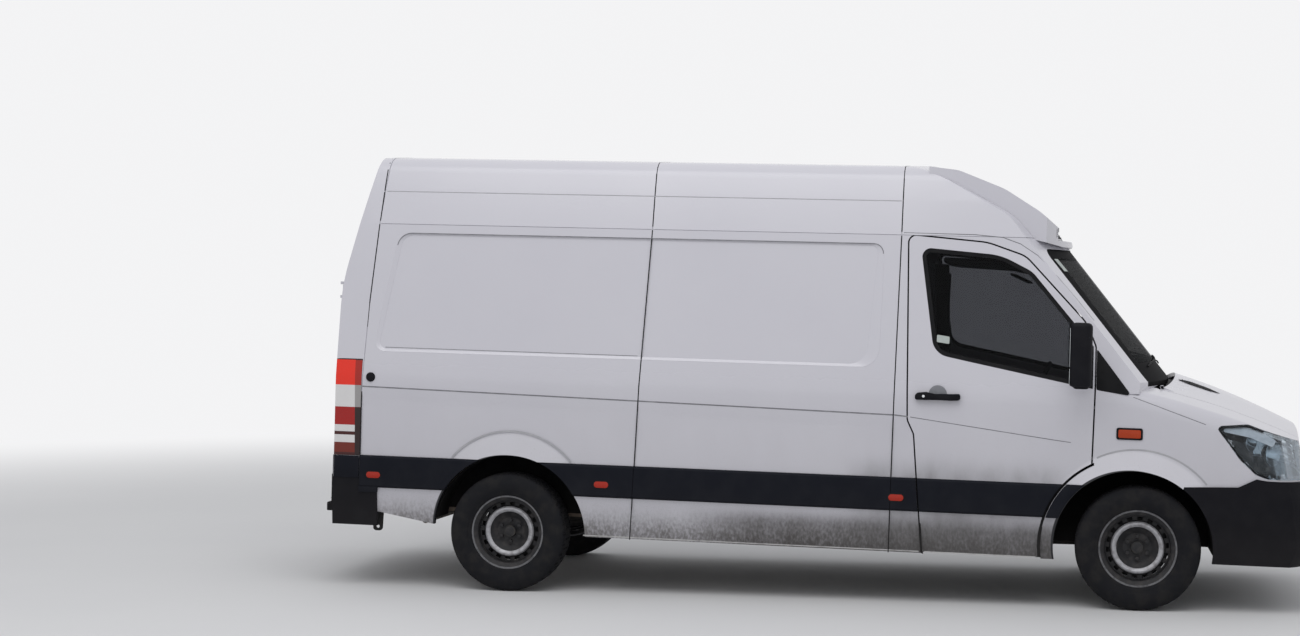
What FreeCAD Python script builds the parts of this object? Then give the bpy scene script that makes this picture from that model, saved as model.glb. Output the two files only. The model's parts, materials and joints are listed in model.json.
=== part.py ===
import FreeCAD, Part
import math
import os
from functools import lru_cache
from FreeCAD import Vector

# Panel van, right-hand drive. +X forward, -Y the van's right side, +Z up, millimetres.
# The body is drawn level, X measured forward from the rear axle, and is then raked nose down
# about the rear wheels' contact with the ground. Wheels and axles are drawn on level ground.

# Running gear
WHEELBASE = 3665
TRACK_FRONT = 1710
TRACK_REAR = 1716
TYRE_R = 350
TYRE_W = 235
RIM_R = 219
RIM_W = 178
RIM_WELL_R = 188
RIM_T = 9
HUB_R = 34
HUB_FIT = 0.05
# Wheel disc: radius and how far its face lies in from the rim's outer edge
DISC_ROWS = [(HUB_R + HUB_FIT, 88), (84, 88), (126, 46), (146, 46), (152, 66), (181, 66)]
DISC_T = 10
VENTS = 18
VENT_RING = 166
VENT_R = 8
KINGPIN_Y = 742
KINGPIN_R = 16

# Body length, width and rake
RAKE = 1.2
SIDE_Y = 985
REAR_FACE = -1085
FRONT_FACE = 4704
STEP_TIP = -1238
ROOF_AXIS_X = 1500

# Body heights, level frame
SILL_Z = 345
STRIP_LOW = 583
BELT_LOW = 640
STRIP_HIGH = 778
BELT_HIGH = 1250
SEAM_Z = 2171
CREASE_Z = 2371
SHOULDER_Z = 2575
CROWN_Z = 2622
CROWN_R = 7000
FLOOR_Z = 690
FLOOR_REAR_X = -1026
CAB_FLOOR_Z = 560
BULKHEAD_X = 2236
SEAT_BOX_Z = 830
DASH_WALL_X = 3540

# Thicknesses and gaps
WALL = 50
FENDER_TOP_Z = 1302
FLOOR_T = 26
SKIN = 14
NOSE_WALL = 30
STRIP_T = 11.5
GLASS_T = 5
GLASS_SET = 7
DOOR_GAP = 9
PAN_STEP = 12
SEAM_GROOVE = 5
BUMPER_PROUD = 12
MIRROR_FOOT_T = 7
BUMPER_T = 34
SEAT_GAP = 0.3

# House sections: x, half-widths at sill, belt, roof seam, roof crease and shoulder
HOUSE_ROWS = [
    (-1250, 945, SIDE_Y, 848, 798, 735),
    (2300, 945, SIDE_Y, 848, 798, 735),
    (3950, 935, SIDE_Y, 775, 725, 660),
]
# Nose sections: x, crown height, fender top half-width and height, belt half-width and height,
# lower half-width
NOSE_ROWS = [
    (3350, 1566, 965, 1378, SIDE_Y, 1262, 940),
    (3850, 1426, 958, 1265, SIDE_Y, 1190, 940),
    (4150, 1325, 950, 1180, 983, 1105, 940),
    (4400, 1217, 942, 1095, 976, 1015, 935),
    (4780, 1024, 915, 940, 955, 860, 915),
]
# Windscreen and roof front on the centre line: x, z, corner radius
FRONT_LINE = [(3850, 1365, 0), (3225, 2140, 200), (3100, 2300, 300), (2700, 2545, 700),
              (2300, 2640, 600)]
FRONT_INSET = 1.3
BONNET_CROWN_R = 1800

# Panel seams as x, z lines from sill to roof
REAR_SEAM = [(-921, 0), (-921, 1107), (-904, 1708), (-876, 2176), (-835, 2700)]
MID_SEAM = [(730, 0), (807, 2171), (807, 2700)]
CAB_SEAM = [(2252, 0), (2278, 2171), (2278, 2700)]

# Cab door
DOOR_OUTLINE = [(2323, 2172, 40), (2772, 2136, 300), (2990, 2062, 150), (3340, 1690, 250),
                (3394, 1560, 60), (3394, 1320, 0), (3383, 760, 0), (3130, 352, 0), (2447, 352, 8),
                (2388, 1030, 60), (2350, 1110, 60)]
DOOR_ARCH_R = 530
DOOR_ARCH_GAP = 15
WINDOW_OUTLINE = [(2392, 2104, 50), (2850, 2068, 350), (3030, 1978, 150), (3346, 1606, 20),
                  (3352, 1326, 15), (2700, 1450, 80), (2486, 1492, 110)]
DOOR_HINGE_X = 3361
DOOR_HINGE_Y = 973
DOOR_HINGE_Z = (925, 1215)
DOOR_POST_X = (3403, 3463)
DOOR_POST_Y = (-948, -890)
DOOR_POST_TOP = 1415
HINGE_PIN_R = 5
HINGE_FIT = 0.05
BARREL_R = 9
POCKET_HALF = 24

# Wheel arches: radius, and shift forward of the wheel centre
ARCH_R_REAR = 462
ARCH_SHIFT_REAR = 9
ARCH_R_FRONT = 442
ARCH_SHIFT_FRONT = -30
LINER_T = 8
WHEELHOUSE_Y = 668
STEER_HOUSE_Y = 525
AXLE_ROOM = 80

# Raised lips over the arches, each a flat cone: centre x and z, radius where it meets the panel
FLARE_REAR = (14, 478, 478)
FLARE_FRONT = (3641, 494, 496)
FLARE_RUN = 143
FLARE_PROUD = 17

# Crease along the waist: x, its height, depth of the step pressed in below it
WAIST_ROWS = [(-1250, 1196, 6), (2300, 1134, 6), (3175, 1026, 6), (3300, 1012, -0.5)]
WAIST_RUN = 75
WAIST_LOW = 768

# Rear doors
REAR_DOOR_HALF = 790
REAR_DOOR_LOW = 668
REAR_DOOR_HIGH = 2490
REAR_DOOR_TOP_HALF = 640
REAR_CENTRE_GAP = 12
REAR_PAN_STEP = 22
REAR_DOOR_T = 44
REAR_HINGE_X = -1106
REAR_HINGE_Y = 803
REAR_HINGE_Z = (782, 1765)
REAR_BARREL_H = 17
STEP_LOW = 395
BUMPER_REAR_HIGH = 642

# Bonnet
BONNET_REAR_R = 2385
BONNET_REAR_HALF = 742
BONNET_FRONT_HALF = 640
BONNET_T = 22
BONNET_GAP = 7
BONNET_HINGE_X = 3780
BONNET_HINGE_Z = 1332
BONNET_HINGE_Y = 690
COWL_DROP = 45
COWL_T = 12

# Lamps
LAMP_OUTLINE = [(4074, 1122, 12), (4092, 1140, 10), (4240, 1152, 70), (4330, 1120, 0),
                (4800, 980, 0), (4800, 843, 0), (4353, 849, 50), (4286, 874, 40), (4200, 954, 50)]
LAMP_INNER_Y = 628
LAMP_T = 60
TAIL_LOW = 772
TAIL_HIGH = 1354
MARKERS_X = (-832, 565, 2293)
MARKER_HALF = 49
MARKER_Z = (640, 683)
REPEATER_X = (3524, 3664)
REPEATER_Z = (1046, 1106)

# Front bumper: x, z and radius along its top; height and reach beyond FRONT_FACE of its sections
BUMPER_TOP = [(3900, 790, 0), (4195, 800, 30), (4293, 849, 0), (4353, 840, 40), (4800, 834, 0)]
BUMPER_ROWS = [(362, -62), (450, -4), (560, 10), (700, 8), (880, -30)]

# Sliding door as x, z, radius, and windscreen as y, z, radius
SLIDE_OUTLINE = [(835, 2110, 60), (2215, 2110, 60), (2215, 420, 30), (790, 420, 30)]
WINDSCREEN_OUTLINE = [(-842, 1340, 0), (-842, 1400, 30), (-728, 2112, 70), (728, 2112, 70), (842, 1400, 30),
                      (842, 1340, 0)]

# Steering column: lower end in the dashboard, upper end in the wheel's hub
COLUMN_LOW = Vector(3330, -430, 1150)
COLUMN_HIGH = Vector(3075, -430, 1262)
COLUMN_R = 14
SLEEVE_R = 34
RIM_RADIUS = 190
RIM_BAR_R = 14

# Chassis rails, springs and axles
RAIL_Y = 440
RAIL_W = 70
TAIL_BAR = 30
SPRING_Y = 560
SPRING_W = 60
SPRING_HALF = 690
SPRING_T = 32
SPRING_REAR_Z = 560
SPRING_FRONT_Z = 505
SPRING_SEAT_Z = 60
BEAM_R = 45
DIFF_R = 130
DIFF_HALF = 95
DIFF_NOSE = 50
ARM_LOW = 268
ARM_T = 30
AXLE_SEAT_Z = 445.5

# Tank, exhaust as centre points of its bends, and towing eye
TANK_TOP = 482
PIPE_R = 26
PIPE_BORE_R = 23
PIPE_BORE_L = 80
EXHAUST_ROUTE = [(3300, -350, 420), (2200, -350, 400), (600, -330, 430), (0, -310, 482), (-320, -420, 470),
                 (-520, -700, 402), (-560, -800, 388)]
SILENCER_X = (1650, 1010)
SILENCER_R = 72
TOW_EYE = (-880, 322)
TOW_EYE_R = 12
TOW_EYE_Y = (-728, -712)


def at_x(x):
    """Place a flat point (y, z) on the plane at x."""
    return lambda p: Vector(x, p.x, p.y)


def at_y(y):
    """Place a flat point (x, z) on the plane at y."""
    return lambda p: Vector(p.x, y, p.y)


def at_z(z):
    """Place a flat point (x, y) on the plane at z."""
    return lambda p: Vector(p.x, p.y, z)


def corner_wire(points, place):
    """Closed wire through (u, v, radius) corners, each rounded with its radius."""
    flat = [Vector(p[0], p[1], 0) for p in points]
    radii = [p[2] if len(p) > 2 else 0 for p in points]
    ends = []
    for i, corner in enumerate(flat):
        back = (flat[i - 1] - corner).normalize()
        ahead = (flat[(i + 1) % len(flat)] - corner).normalize()
        half = back.getAngle(ahead) / 2
        if radii[i] <= 0:
            ends.append((corner, None, corner))
            continue
        run = radii[i] / math.tan(half)
        middle = (back + ahead).normalize() * (radii[i] / math.sin(half) - radii[i])
        ends.append((corner + back * run, corner + middle, corner + ahead * run))
    edges = []
    for i, (start, middle, end) in enumerate(ends):
        if middle is not None:
            edges.append(Part.Arc(place(start), place(middle), place(end)).toShape())
        following = ends[(i + 1) % len(ends)][0]
        if (following - end).Length > 0.01:
            edges.append(Part.LineSegment(place(end), place(following)).toShape())
    return Part.Wire(edges)


def prism_x(points, start, end):
    """Extrude a (y, z) outline from x start to x end."""
    return Part.Face(corner_wire(points, at_x(start))).extrude(Vector(end - start, 0, 0))


def prism_y(points, start, end):
    """Extrude an (x, z) outline from y start to y end."""
    return Part.Face(corner_wire(points, at_y(start))).extrude(Vector(0, end - start, 0))


def prism_z(points, start, end):
    """Extrude an (x, y) outline from z start to z end."""
    return Part.Face(corner_wire(points, at_z(start))).extrude(Vector(0, 0, end - start))


def box(x, y, z):
    """Box from (low, high) pairs."""
    return Part.makeBox(x[1] - x[0], y[1] - y[0], z[1] - z[0], Vector(x[0], y[0], z[0]))


def rod(start, end, radius):
    """Round bar between two points."""
    along = Vector(*end) - Vector(*start)
    return Part.makeCylinder(radius, along.Length, Vector(*start), along)


def fused(shapes):
    """One shape from several that touch or overlap."""
    whole = shapes[0].multiFuse(shapes[1:]) if len(shapes) > 1 else shapes[0]
    return whole.removeSplitter()


def mirrored(shape):
    """The same shape on the other side of the centre plane."""
    return shape.mirror(Vector(0, 0, 0), Vector(0, 1, 0))


def both(shape):
    """A right-hand shape and its left-hand copy, apart from each other."""
    return Part.makeCompound([shape, mirrored(shape)])


def to_body(x, z):
    """Body-frame x and z of a point given over level ground."""
    angle = math.radians(RAKE)
    return (x * math.cos(angle) - z * math.sin(angle), x * math.sin(angle) + z * math.cos(angle))


REAR_HUB = to_body(0, TYRE_R)
FRONT_HUB = to_body(WHEELBASE, TYRE_R)
REAR_ARCH = to_body(ARCH_SHIFT_REAR, TYRE_R)
FRONT_ARCH = to_body(WHEELBASE + ARCH_SHIFT_FRONT, TYRE_R)


def raked(shape):
    """A body-frame shape turned nose down over level ground."""
    turned = shape.copy()
    turned.rotate(Vector(0, 0, 0), Vector(0, 1, 0), RAKE)
    return turned


@lru_cache(maxsize=None)
def middle_x():
    """Halfway between the step's rear edge and the front bumper's tip."""
    rear = raked(rear_bumper()).optimalBoundingBox(False, False).XMin
    front = raked(front_bumper()).optimalBoundingBox(False, False).XMax
    return (rear + front) / 2


def on_ground(shape):
    """Centre a ground-frame shape on the origin."""
    moved = shape.copy()
    moved.translate(Vector(-middle_x(), 0, 0))
    return moved


def on_body(shape):
    """Rake a body-frame shape and centre the van on the origin."""
    return on_ground(raked(shape))


def save(name, shape, place=on_body):
    """Write one node."""
    place(shape).exportStep("parts/" + name + ".step")


# Hull of the load space and cab

def symmetric(half, place):
    """Wire from the right half of an outline whose first corner is on the centre line."""
    other = [(-p[0],) + tuple(p[1:]) for p in reversed(half) if p[0] > 0]
    return corner_wire(half + other, place)


def house_section(row, inset):
    x, sill, belt, seam, crease, shoulder = row
    low = SILL_Z - (2 * WALL if inset else 0)
    half = [(0, CROWN_Z - inset, CROWN_R), (shoulder - inset, SHOULDER_Z - inset, 130),
            (crease - inset, CREASE_Z), (seam - inset, SEAM_Z), (belt - inset, BELT_HIGH, 400),
            (belt - inset, BELT_LOW), (sill - inset, low)]
    return symmetric(half, at_x(x))


def front_body(inset):
    """Solid of revolution that shapes windscreen and roof front, curved in plan."""
    line = [(x - inset * FRONT_INSET, z - (0.6 * inset if z > SEAM_Z else 0), r)
            for x, z, r in FRONT_LINE]
    base = line[0][0]
    outline = [(ROOF_AXIS_X, 100, 0), (base, 100, 0)] + line + [(ROOF_AXIS_X, 2700 - inset, 0)]
    face = Part.Face(corner_wire(outline, at_y(0)))
    axis = Vector(ROOF_AXIS_X, 0, 0)
    face.rotate(axis, Vector(0, 0, 1), -90)
    return face.revolve(axis, Vector(0, 0, 1), 180)


def rear_body(inset):
    """Extruded rear profile: upright face, top leaning forward."""
    face_x = REAR_FACE + inset
    outline = [(face_x, 100, 0), (face_x, 1800, 1200), (face_x + 205, 2700 - inset, 0),
               (ROOF_AXIS_X, 2700 - inset, 0), (ROOF_AXIS_X, 100, 0)]
    return prism_y(outline, -1500, 1500)


@lru_cache(maxsize=None)
def house(inset):
    sections = [house_section(row, inset) for row in HOUSE_ROWS]
    tunnel = Part.makeLoft(sections, True, True)
    return tunnel.common(front_body(inset).fuse(rear_body(inset)))


# Hull of the nose

def nose_section(row, inset):
    x, crown, top, top_z, belt, belt_z, low = row
    half = [(0, crown - inset, BONNET_CROWN_R), (top - inset, top_z - inset, max(70 - inset, 5)),
            (belt - inset, belt_z - inset, 150), (belt - inset, BELT_LOW), (low - inset, 250 - inset)]
    return symmetric(half, at_x(x))


def nose_plan(front, inset, z):
    corner = front - 105 - inset
    return corner_wire([(3250, 1010 - inset, 0), (corner, 1000 - inset, 280), (front - inset, 0, 5000),
                        (corner, inset - 1000, 280), (3250, inset - 1010, 0)], at_z(z))


@lru_cache(maxsize=None)
def nose(inset):
    """Lofted nose cut to a rounded plan that leans back with height."""
    body = Part.makeLoft([nose_section(row, inset) for row in NOSE_ROWS], True, False)
    plan = Part.makeLoft([nose_plan(FRONT_FACE + 80, inset, 150), nose_plan(FRONT_FACE - 190, inset, 1600)],
                         True, True)
    return body.common(plan)


@lru_cache(maxsize=None)
def bumper_hull(inset):
    """Sides from the nose, front face from its own rounded sections."""
    body = Part.makeLoft([nose_section(row, inset - BUMPER_PROUD) for row in NOSE_ROWS], True, False)
    plans = [nose_plan(FRONT_FACE + out, inset - BUMPER_PROUD, z - (20 if z == BUMPER_ROWS[0][0] else 0))
             for z, out in BUMPER_ROWS]
    return body.common(Part.makeLoft(plans, True, True))


def arch_cut(centre, radius, inner, outer=1100):
    """Round cutter across one side, right-hand."""
    return rod((centre[0], -outer, centre[1]), (centre[0], -inner, centre[1]), radius)


def seam_band(seam, width, low, high):
    """Thin upright band along a seam line, right and left sides at once."""
    points = [(x - width / 2, z, 0) for x, z in seam] + [(x + width / 2, z, 0) for x, z in reversed(seam)]
    return prism_y(points, -1100, 1100).common(box((-2000, 5000), (-1100, 1100), (low, high)))


def between(seam_a, seam_b):
    """Side region between two seams, from ground to roof, both sides."""
    points = [(x, z, 0) for x, z in seam_a] + [(x, z, 0) for x, z in reversed(seam_b)]
    return prism_y(points, -1100, 1100)


BIG = 3000
RIGHT = box((-BIG, 6000), (-BIG, -400), (-BIG, BIG))
REAR_END = [(-1400, 0), (-1400, 2700)]
FRONT_END = [(4800, 0), (4800, 2700)]

OUTER = house(0)
INNER = house(WALL)
SHELL = OUTER.cut(INNER)
LINED = OUTER.cut(house(SEAM_GROOVE))
NOSE_OUT = nose(0)
NOSE_SHELL = NOSE_OUT.cut(nose(NOSE_WALL))
BELOW_SEAM = box((-2000, 5000), (-1100, 1100), (0, SEAM_Z))


def grown(outline, amount):
    """Outline of (x, z, radius) corners moved outward by an amount."""
    wire = corner_wire(outline, at_y(0))
    return Part.Face(wire).makeOffset2D(amount)


def grown_prism(outline, amount, start, end):
    face = grown(outline, amount)
    face.translate(Vector(0, start, 0))
    return face.extrude(Vector(0, end - start, 0))


# Side panels behind the cab

def groove(seam):
    return seam_band(seam, SEAM_GROOVE, 0, 2700).common(LINED)


def recess():
    """Shallow pressed field on the right side, its left edge leaning."""
    outline = [(-862, 1404, 60), (-745, 2121, 90), (2180, 2121, 60), (2172, 1404, 110)]
    field = prism_y(outline, -1100, -400)
    return field.common(OUTER.cut(house(9)))


def flare(row, panel_y):
    """Raised lip over a wheel arch, proudest at the opening, right-hand."""
    x, z, radius = row
    sunk = 1
    slope = FLARE_RUN / FLARE_PROUD
    cone = Part.makeCone(radius + sunk * slope, radius - FLARE_RUN, FLARE_PROUD + sunk,
                         Vector(x, sunk - panel_y, z), Vector(0, -1, 0))
    return cone.common(box((-2000, 5000), (-1100, 0), (STRIP_HIGH, 2000)))


@lru_cache(maxsize=None)
def waist():
    """Cutter for the step pressed in below the waist crease, right-hand."""
    away = -SIDE_Y - 20
    wires = []
    for x, line, depth in WAIST_ROWS:
        deep = depth - SIDE_Y
        corners = [(away, line), (-SIDE_Y, line), (deep, line - WAIST_RUN), (deep, WAIST_LOW),
                   (away, WAIST_LOW)]
        wires.append(corner_wire(corners, at_x(x)))
    return Part.makeLoft(wires, True, True)


def side_region(seam_a, seam_b):
    return SHELL.common(between(seam_a, seam_b)).common(BELOW_SEAM).common(RIGHT)


def quarter_panel():
    """Right-hand panel over the rear wheel, before what only one side has."""
    panel = side_region(REAR_SEAM, MID_SEAM).cut(waist())
    panel = panel.fuse(flare(FLARE_REAR, SIDE_Y - WAIST_ROWS[0][2]))
    panel = panel.cut(arch_cut(REAR_ARCH, ARCH_R_REAR, 800)).cut(groove(REAR_SEAM)).cut(groove(MID_SEAM))
    lower = [(-922, 300, 0), (-922, 560, 0), (-812, 560, 0), (-812, 440, 0), (-395, 368, 0), (-395, 300, 0)]
    return panel.cut(prism_y(lower, -1100, -400))


def quarter_right():
    return quarter_panel().cut(recess()).removeSplitter()


def mid_right():
    panel = side_region(MID_SEAM, CAB_SEAM).cut(waist())
    return panel.cut(groove(MID_SEAM)).cut(groove(CAB_SEAM)).cut(recess()).removeSplitter()


def quarter_left():
    """Left quarter, with the sliding door's track."""
    track = box((-640, 800), (-1000, 10 - SIDE_Y), (1395, 1425))
    return mirrored(quarter_panel().cut(track).removeSplitter())


def mid_left():
    """Frame round the sliding door."""
    panel = side_region(MID_SEAM, CAB_SEAM).cut(waist()).cut(grown_prism(SLIDE_OUTLINE, 6, -1100, -400))
    return mirrored(panel.cut(groove(CAB_SEAM)).removeSplitter())


def sliding_door():
    return mirrored(SHELL.common(prism_y(SLIDE_OUTLINE, -1100, -400)).cut(waist()))


def roof():
    ahead = box((-2000, 5000), (-1100, 1100), (SEAM_Z, 2800)).common(between(REAR_SEAM, FRONT_END))
    panel = SHELL.common(ahead)
    edge = box((-1000, 3400), (-1100, 1100), (SEAM_Z - 2, SEAM_Z + 3)).common(LINED)
    for seam in (REAR_SEAM, MID_SEAM, CAB_SEAM):
        panel = panel.cut(groove(seam))
    return panel.cut(edge).removeSplitter()


# Rear end

def rear_door_outline(half, grow):
    """Right-hand door outline in y, z seen from behind."""
    return [(-half - grow, REAR_DOOR_LOW - grow, 20), (-half - grow, 1860, 300),
            (-REAR_DOOR_TOP_HALF - grow, REAR_DOOR_HIGH + grow, 60), (60, REAR_DOOR_HIGH + grow, 0),
            (60, REAR_DOOR_LOW - grow, 0)]


def rear_frame():
    ring = SHELL.common(between(REAR_END, REAR_SEAM)).cut(groove(REAR_SEAM))
    hole = prism_x(rear_door_outline(REAR_DOOR_HALF, DOOR_GAP), -1400, -700)
    ring = ring.cut(fused([hole, mirrored(hole)]))
    lamp = box((-1300, -922), (-1100, -REAR_DOOR_HALF - 60), (TAIL_LOW, TAIL_HIGH))
    pocket = lamp.common(OUTER.cut(house(LAMP_T - 25)))
    below = box((-1300, -800), (-1100, 1100), (0, BUMPER_REAR_HIGH))
    ring = ring.cut(fused([pocket, mirrored(pocket)])).cut(below)
    for z in REAR_HINGE_Z:
        leaf = hinge_leaf(z)
        ring = ring.fuse(leaf).fuse(mirrored(leaf))
    return ring.removeSplitter()


def hinge_leaf(z):
    """Fixed rear-door hinge: two barrels with the pin, carried on the corner post."""
    y = -REAR_HINGE_Y
    parts = [rod((REAR_HINGE_X, y, z - 50), (REAR_HINGE_X, y, z + 50), HINGE_PIN_R)]
    for low in (z - 50, z + 50 - REAR_BARREL_H):
        parts.append(rod((REAR_HINGE_X, y, low), (REAR_HINGE_X, y, low + REAR_BARREL_H), BARREL_R))
        height = (low, low + REAR_BARREL_H)
        parts.append(box((REAR_HINGE_X - BARREL_R, REAR_FACE + 10), (y - 46, y - 7), height))
    return fused(parts)


def rear_door_right():
    behind = (-1400, REAR_FACE + 320)
    half_gap = REAR_CENTRE_GAP / 2
    outline = prism_x(rear_door_outline(REAR_DOOR_HALF, 0), *behind)
    skin = OUTER.cut(house(SKIN)).common(outline).common(box(behind, (-1100, -half_gap), (0, 2800)))
    inner = prism_x(rear_door_outline(REAR_DOOR_HALF, -PAN_STEP), *behind)
    pan = house(SKIN - 1).cut(house(REAR_DOOR_T)).common(inner).common(
        box(behind, (-1100, -half_gap - REAR_PAN_STEP), (0, 2800)))
    leaf = fused([skin, pan])
    for z in REAR_HINGE_Z:
        half = 50 - REAR_BARREL_H - 2
        y = -REAR_HINGE_Y
        arm = fused([rod((REAR_HINGE_X, y, z - half), (REAR_HINGE_X, y, z + half), BARREL_R),
                     box((REAR_HINGE_X - BARREL_R, REAR_FACE - 4), (y, y + 90), (z - half, z + half)),
                     box((REAR_HINGE_X - BARREL_R, REAR_FACE + 4), (y + 30, y + 90), (z - half, z + half))])
        bore = rod((REAR_HINGE_X, y, z - 60), (REAR_HINGE_X, y, z + 60), HINGE_PIN_R + HINGE_FIT)
        leaf = leaf.fuse(arm.cut(bore))
    return leaf.removeSplitter()


def tail_lamp_right():
    lamp = box((-1300, -924), (-1100, -REAR_DOOR_HALF - 62), (TAIL_LOW + 2, TAIL_HIGH - 2))
    return lamp.common(OUTER.cut(house(LAMP_T - 25 - SEAT_GAP)))


def rear_bumper():
    """Step bumper with plastic corners that wrap round to the quarter panels."""
    corner = box((-1300, -812), (-1100, 1100), (STEP_LOW - 40, BUMPER_REAR_HIGH))
    band = house(-7).cut(house(WALL)).common(corner)
    side = prism_y([(-1300, 300, 0), (-812, 300, 0), (-812, 560, 0), (-922, 560, 0), (-922, 641, 0),
                    (-1300, 641, 0)], -1100, 1100)
    band = band.common(side)
    step = prism_y([(STEP_TIP, STEP_LOW, 6), (STEP_TIP, STEP_LOW + 52, 10), (-1150, STEP_LOW + 70, 0),
                    (-1060, STEP_LOW + 70, 0), (-1060, STEP_LOW, 0)], -640, 640)
    bar = box((-1150, -1050), (-820, 820), (STEP_LOW + 70, BUMPER_REAR_HIGH - 2))
    return fused([band, step, bar])


# Cab

def windscreen_prism(start, end):
    return prism_x(WINDSCREEN_OUTLINE, start, end)


def cab_frame():
    """B-posts, roof rails, screen pillars, sills and hinge posts."""
    ring = SHELL.common(between(CAB_SEAM, FRONT_END)).common(BELOW_SEAM).cut(groove(CAB_SEAM))
    ring = ring.cut(waist()).cut(mirrored(waist())).cut(windscreen_prism(2900, 4000))
    hole = fused([grown_prism(DOOR_OUTLINE, DOOR_GAP, -1100, -400), arch_cut(FRONT_ARCH, DOOR_ARCH_R, 400)])
    ring = ring.cut(fused([hole, mirrored(hole)]))
    ahead = box((DOOR_POST_X[0], 4000), (-1100, 1100), (0, FENDER_TOP_Z))
    ring = ring.cut(ahead).cut(NOSE_OUT.common(box((3300, 5000), (-1100, 1100), (FENDER_TOP_Z, 2000))))
    post = box(DOOR_POST_X, DOOR_POST_Y, (700, DOOR_POST_TOP)).cut(
        arch_cut(FRONT_ARCH, ARCH_R_FRONT + LINER_T + SEAT_GAP, 400))
    parts = [post] + [door_hinge_arm(z) for z in DOOR_HINGE_Z]
    return fused([ring] + parts + [mirrored(part) for part in parts])


def door_hinge_arm(z):
    """Bent arm from the hinge post round to the barrel behind the door's front edge."""
    x, y = DOOR_HINGE_X, -DOOR_HINGE_Y
    turn_y = DOOR_POST_Y[1] - 25
    leg = box((x - 4, x + 4), (y, turn_y + 8), (z - BARREL_R, z + BARREL_R))
    foot = box((x - 4, DOOR_POST_X[0] + 1), (turn_y, turn_y + 8), (z - BARREL_R, z + BARREL_R))
    barrel = rod((x, y, z - BARREL_R), (x, y, z + BARREL_R), BARREL_R)
    bore = rod((x, y, z - 20), (x, y, z + 20), HINGE_PIN_R + HINGE_FIT)
    return fused([leg, foot, barrel]).cut(bore)


def windscreen():
    pane = house(GLASS_SET - 3).cut(house(GLASS_SET - 3 + GLASS_T)).common(windscreen_prism(2900, 4000))
    return pane.cut(fused([NOSE_OUT.cut(cowl_zone(0)), nose(COWL_DROP)]))


def door_right():
    outline = prism_y(DOOR_OUTLINE, -1100, -400).cut(arch_cut(FRONT_ARCH, DOOR_ARCH_R, 400))
    inner = grown_prism(DOOR_OUTLINE, -PAN_STEP, -1100, -400).cut(
        arch_cut(FRONT_ARCH, DOOR_ARCH_R + PAN_STEP, 400))
    skin = OUTER.cut(house(SKIN)).common(outline).cut(waist())
    pan = house(SKIN - 1).cut(INNER).common(inner)
    leaf = fused([skin, pan]).cut(prism_y(WINDOW_OUTLINE, -1100, -400))
    for z in DOOR_HINGE_Z:
        pocket = box((DOOR_HINGE_X - 17, 3420), (-DOOR_HINGE_Y - BARREL_R - 1, -900),
                     (z - POCKET_HALF, z + POCKET_HALF))
        pin = rod((DOOR_HINGE_X, -DOOR_HINGE_Y, z - POCKET_HALF - 3),
                  (DOOR_HINGE_X, -DOOR_HINGE_Y, z + POCKET_HALF + 3), HINGE_PIN_R)
        leaf = leaf.cut(pocket).fuse(pin)
    return leaf.removeSplitter()


def door_glass_right():
    return house(GLASS_SET).cut(house(GLASS_SET + GLASS_T)).common(prism_y(WINDOW_OUTLINE, -1100, -400))


def door_trim_right():
    """Black rub strip and pull handle."""
    strip = strip_band(2300, 3400).common(
        prism_y(DOOR_OUTLINE, -1100, -400).cut(arch_cut(FRONT_ARCH, DOOR_ARCH_R, 400)))
    handle = prism_y([(2388, 1228, 12), (2388, 1262, 12), (2644, 1268, 12), (2644, 1232, 12)], -1012, -981)
    handle = handle.cut(prism_y([(2420, 1200, 0), (2420, 1300, 0), (2610, 1300, 0), (2610, 1200, 0)],
                                -1000, -900))
    hull = house(-SEAT_GAP)
    return Part.makeCompound([strip.cut(hull), handle.cut(hull)])


def mirror_right():
    """Tall housing on an arm from a foot on the door's front post."""
    head = prism_z([(3262, -1085, 40), (3355, -1085, 40), (3387, -1213, 45), (3250, -1213, 30)], 1325, 1700)
    arm = box((3346, 3384), (-1100, -942), (1420, 1470))
    foot = house(-MIRROR_FOOT_T).common(box((3356, 3390), (-1100, -900), (1350, 1530)))
    return fused([head, arm, foot]).cut(house(-SEAT_GAP))


def strip_band(start, end):
    """Rub strip over the belt of the right side."""
    face = -SIDE_Y - STRIP_T
    outline = [(face, STRIP_LOW + 12, 6), (face, STRIP_HIGH - 12, 6), (-SIDE_Y, STRIP_HIGH, 0),
               (-SIDE_Y, BELT_LOW, 0), (8 - SIDE_Y, STRIP_LOW, 0)]
    return prism_x(outline, start, end)


def rub_strips():
    keep = [(REAR_SEAM, MID_SEAM), (MID_SEAM, CAB_SEAM)]
    solids = []
    arch = arch_cut(REAR_ARCH, ARCH_R_REAR, 900)
    for seam_a, seam_b in keep:
        piece = strip_band(-925, 2400).common(between(seam_a, seam_b)).cut(arch)
        piece = piece.cut(seam_band(seam_a, 3, 0, 2700)).cut(seam_band(seam_b, 3, 0, 2700))
        solids += piece.Solids
    post = strip_band(2200, 2500).cut(between(REAR_END, CAB_SEAM)).cut(
        grown_prism(DOOR_OUTLINE, DOOR_GAP, -1100, -400)).cut(seam_band(CAB_SEAM, 3, 0, 2700))
    solids += post.Solids
    hull = house(-SEAT_GAP)
    solids = [solid.cut(hull) for solid in solids]
    return Part.makeCompound(solids + [mirrored(solid) for solid in solids])


def marker_lamps():
    """Side markers on the rub strips and the repeater on each wing."""
    face = -SIDE_Y - STRIP_T
    solids = [box((x - MARKER_HALF, x + MARKER_HALF), (face - 3, face), MARKER_Z) for x in MARKERS_X]
    repeater = nose(-7).cut(NOSE_OUT).common(box(REPEATER_X, (-1100, 0), REPEATER_Z))
    solids += repeater.Solids
    return Part.makeCompound(solids + [mirrored(solid) for solid in solids])


# Nose pieces

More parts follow.
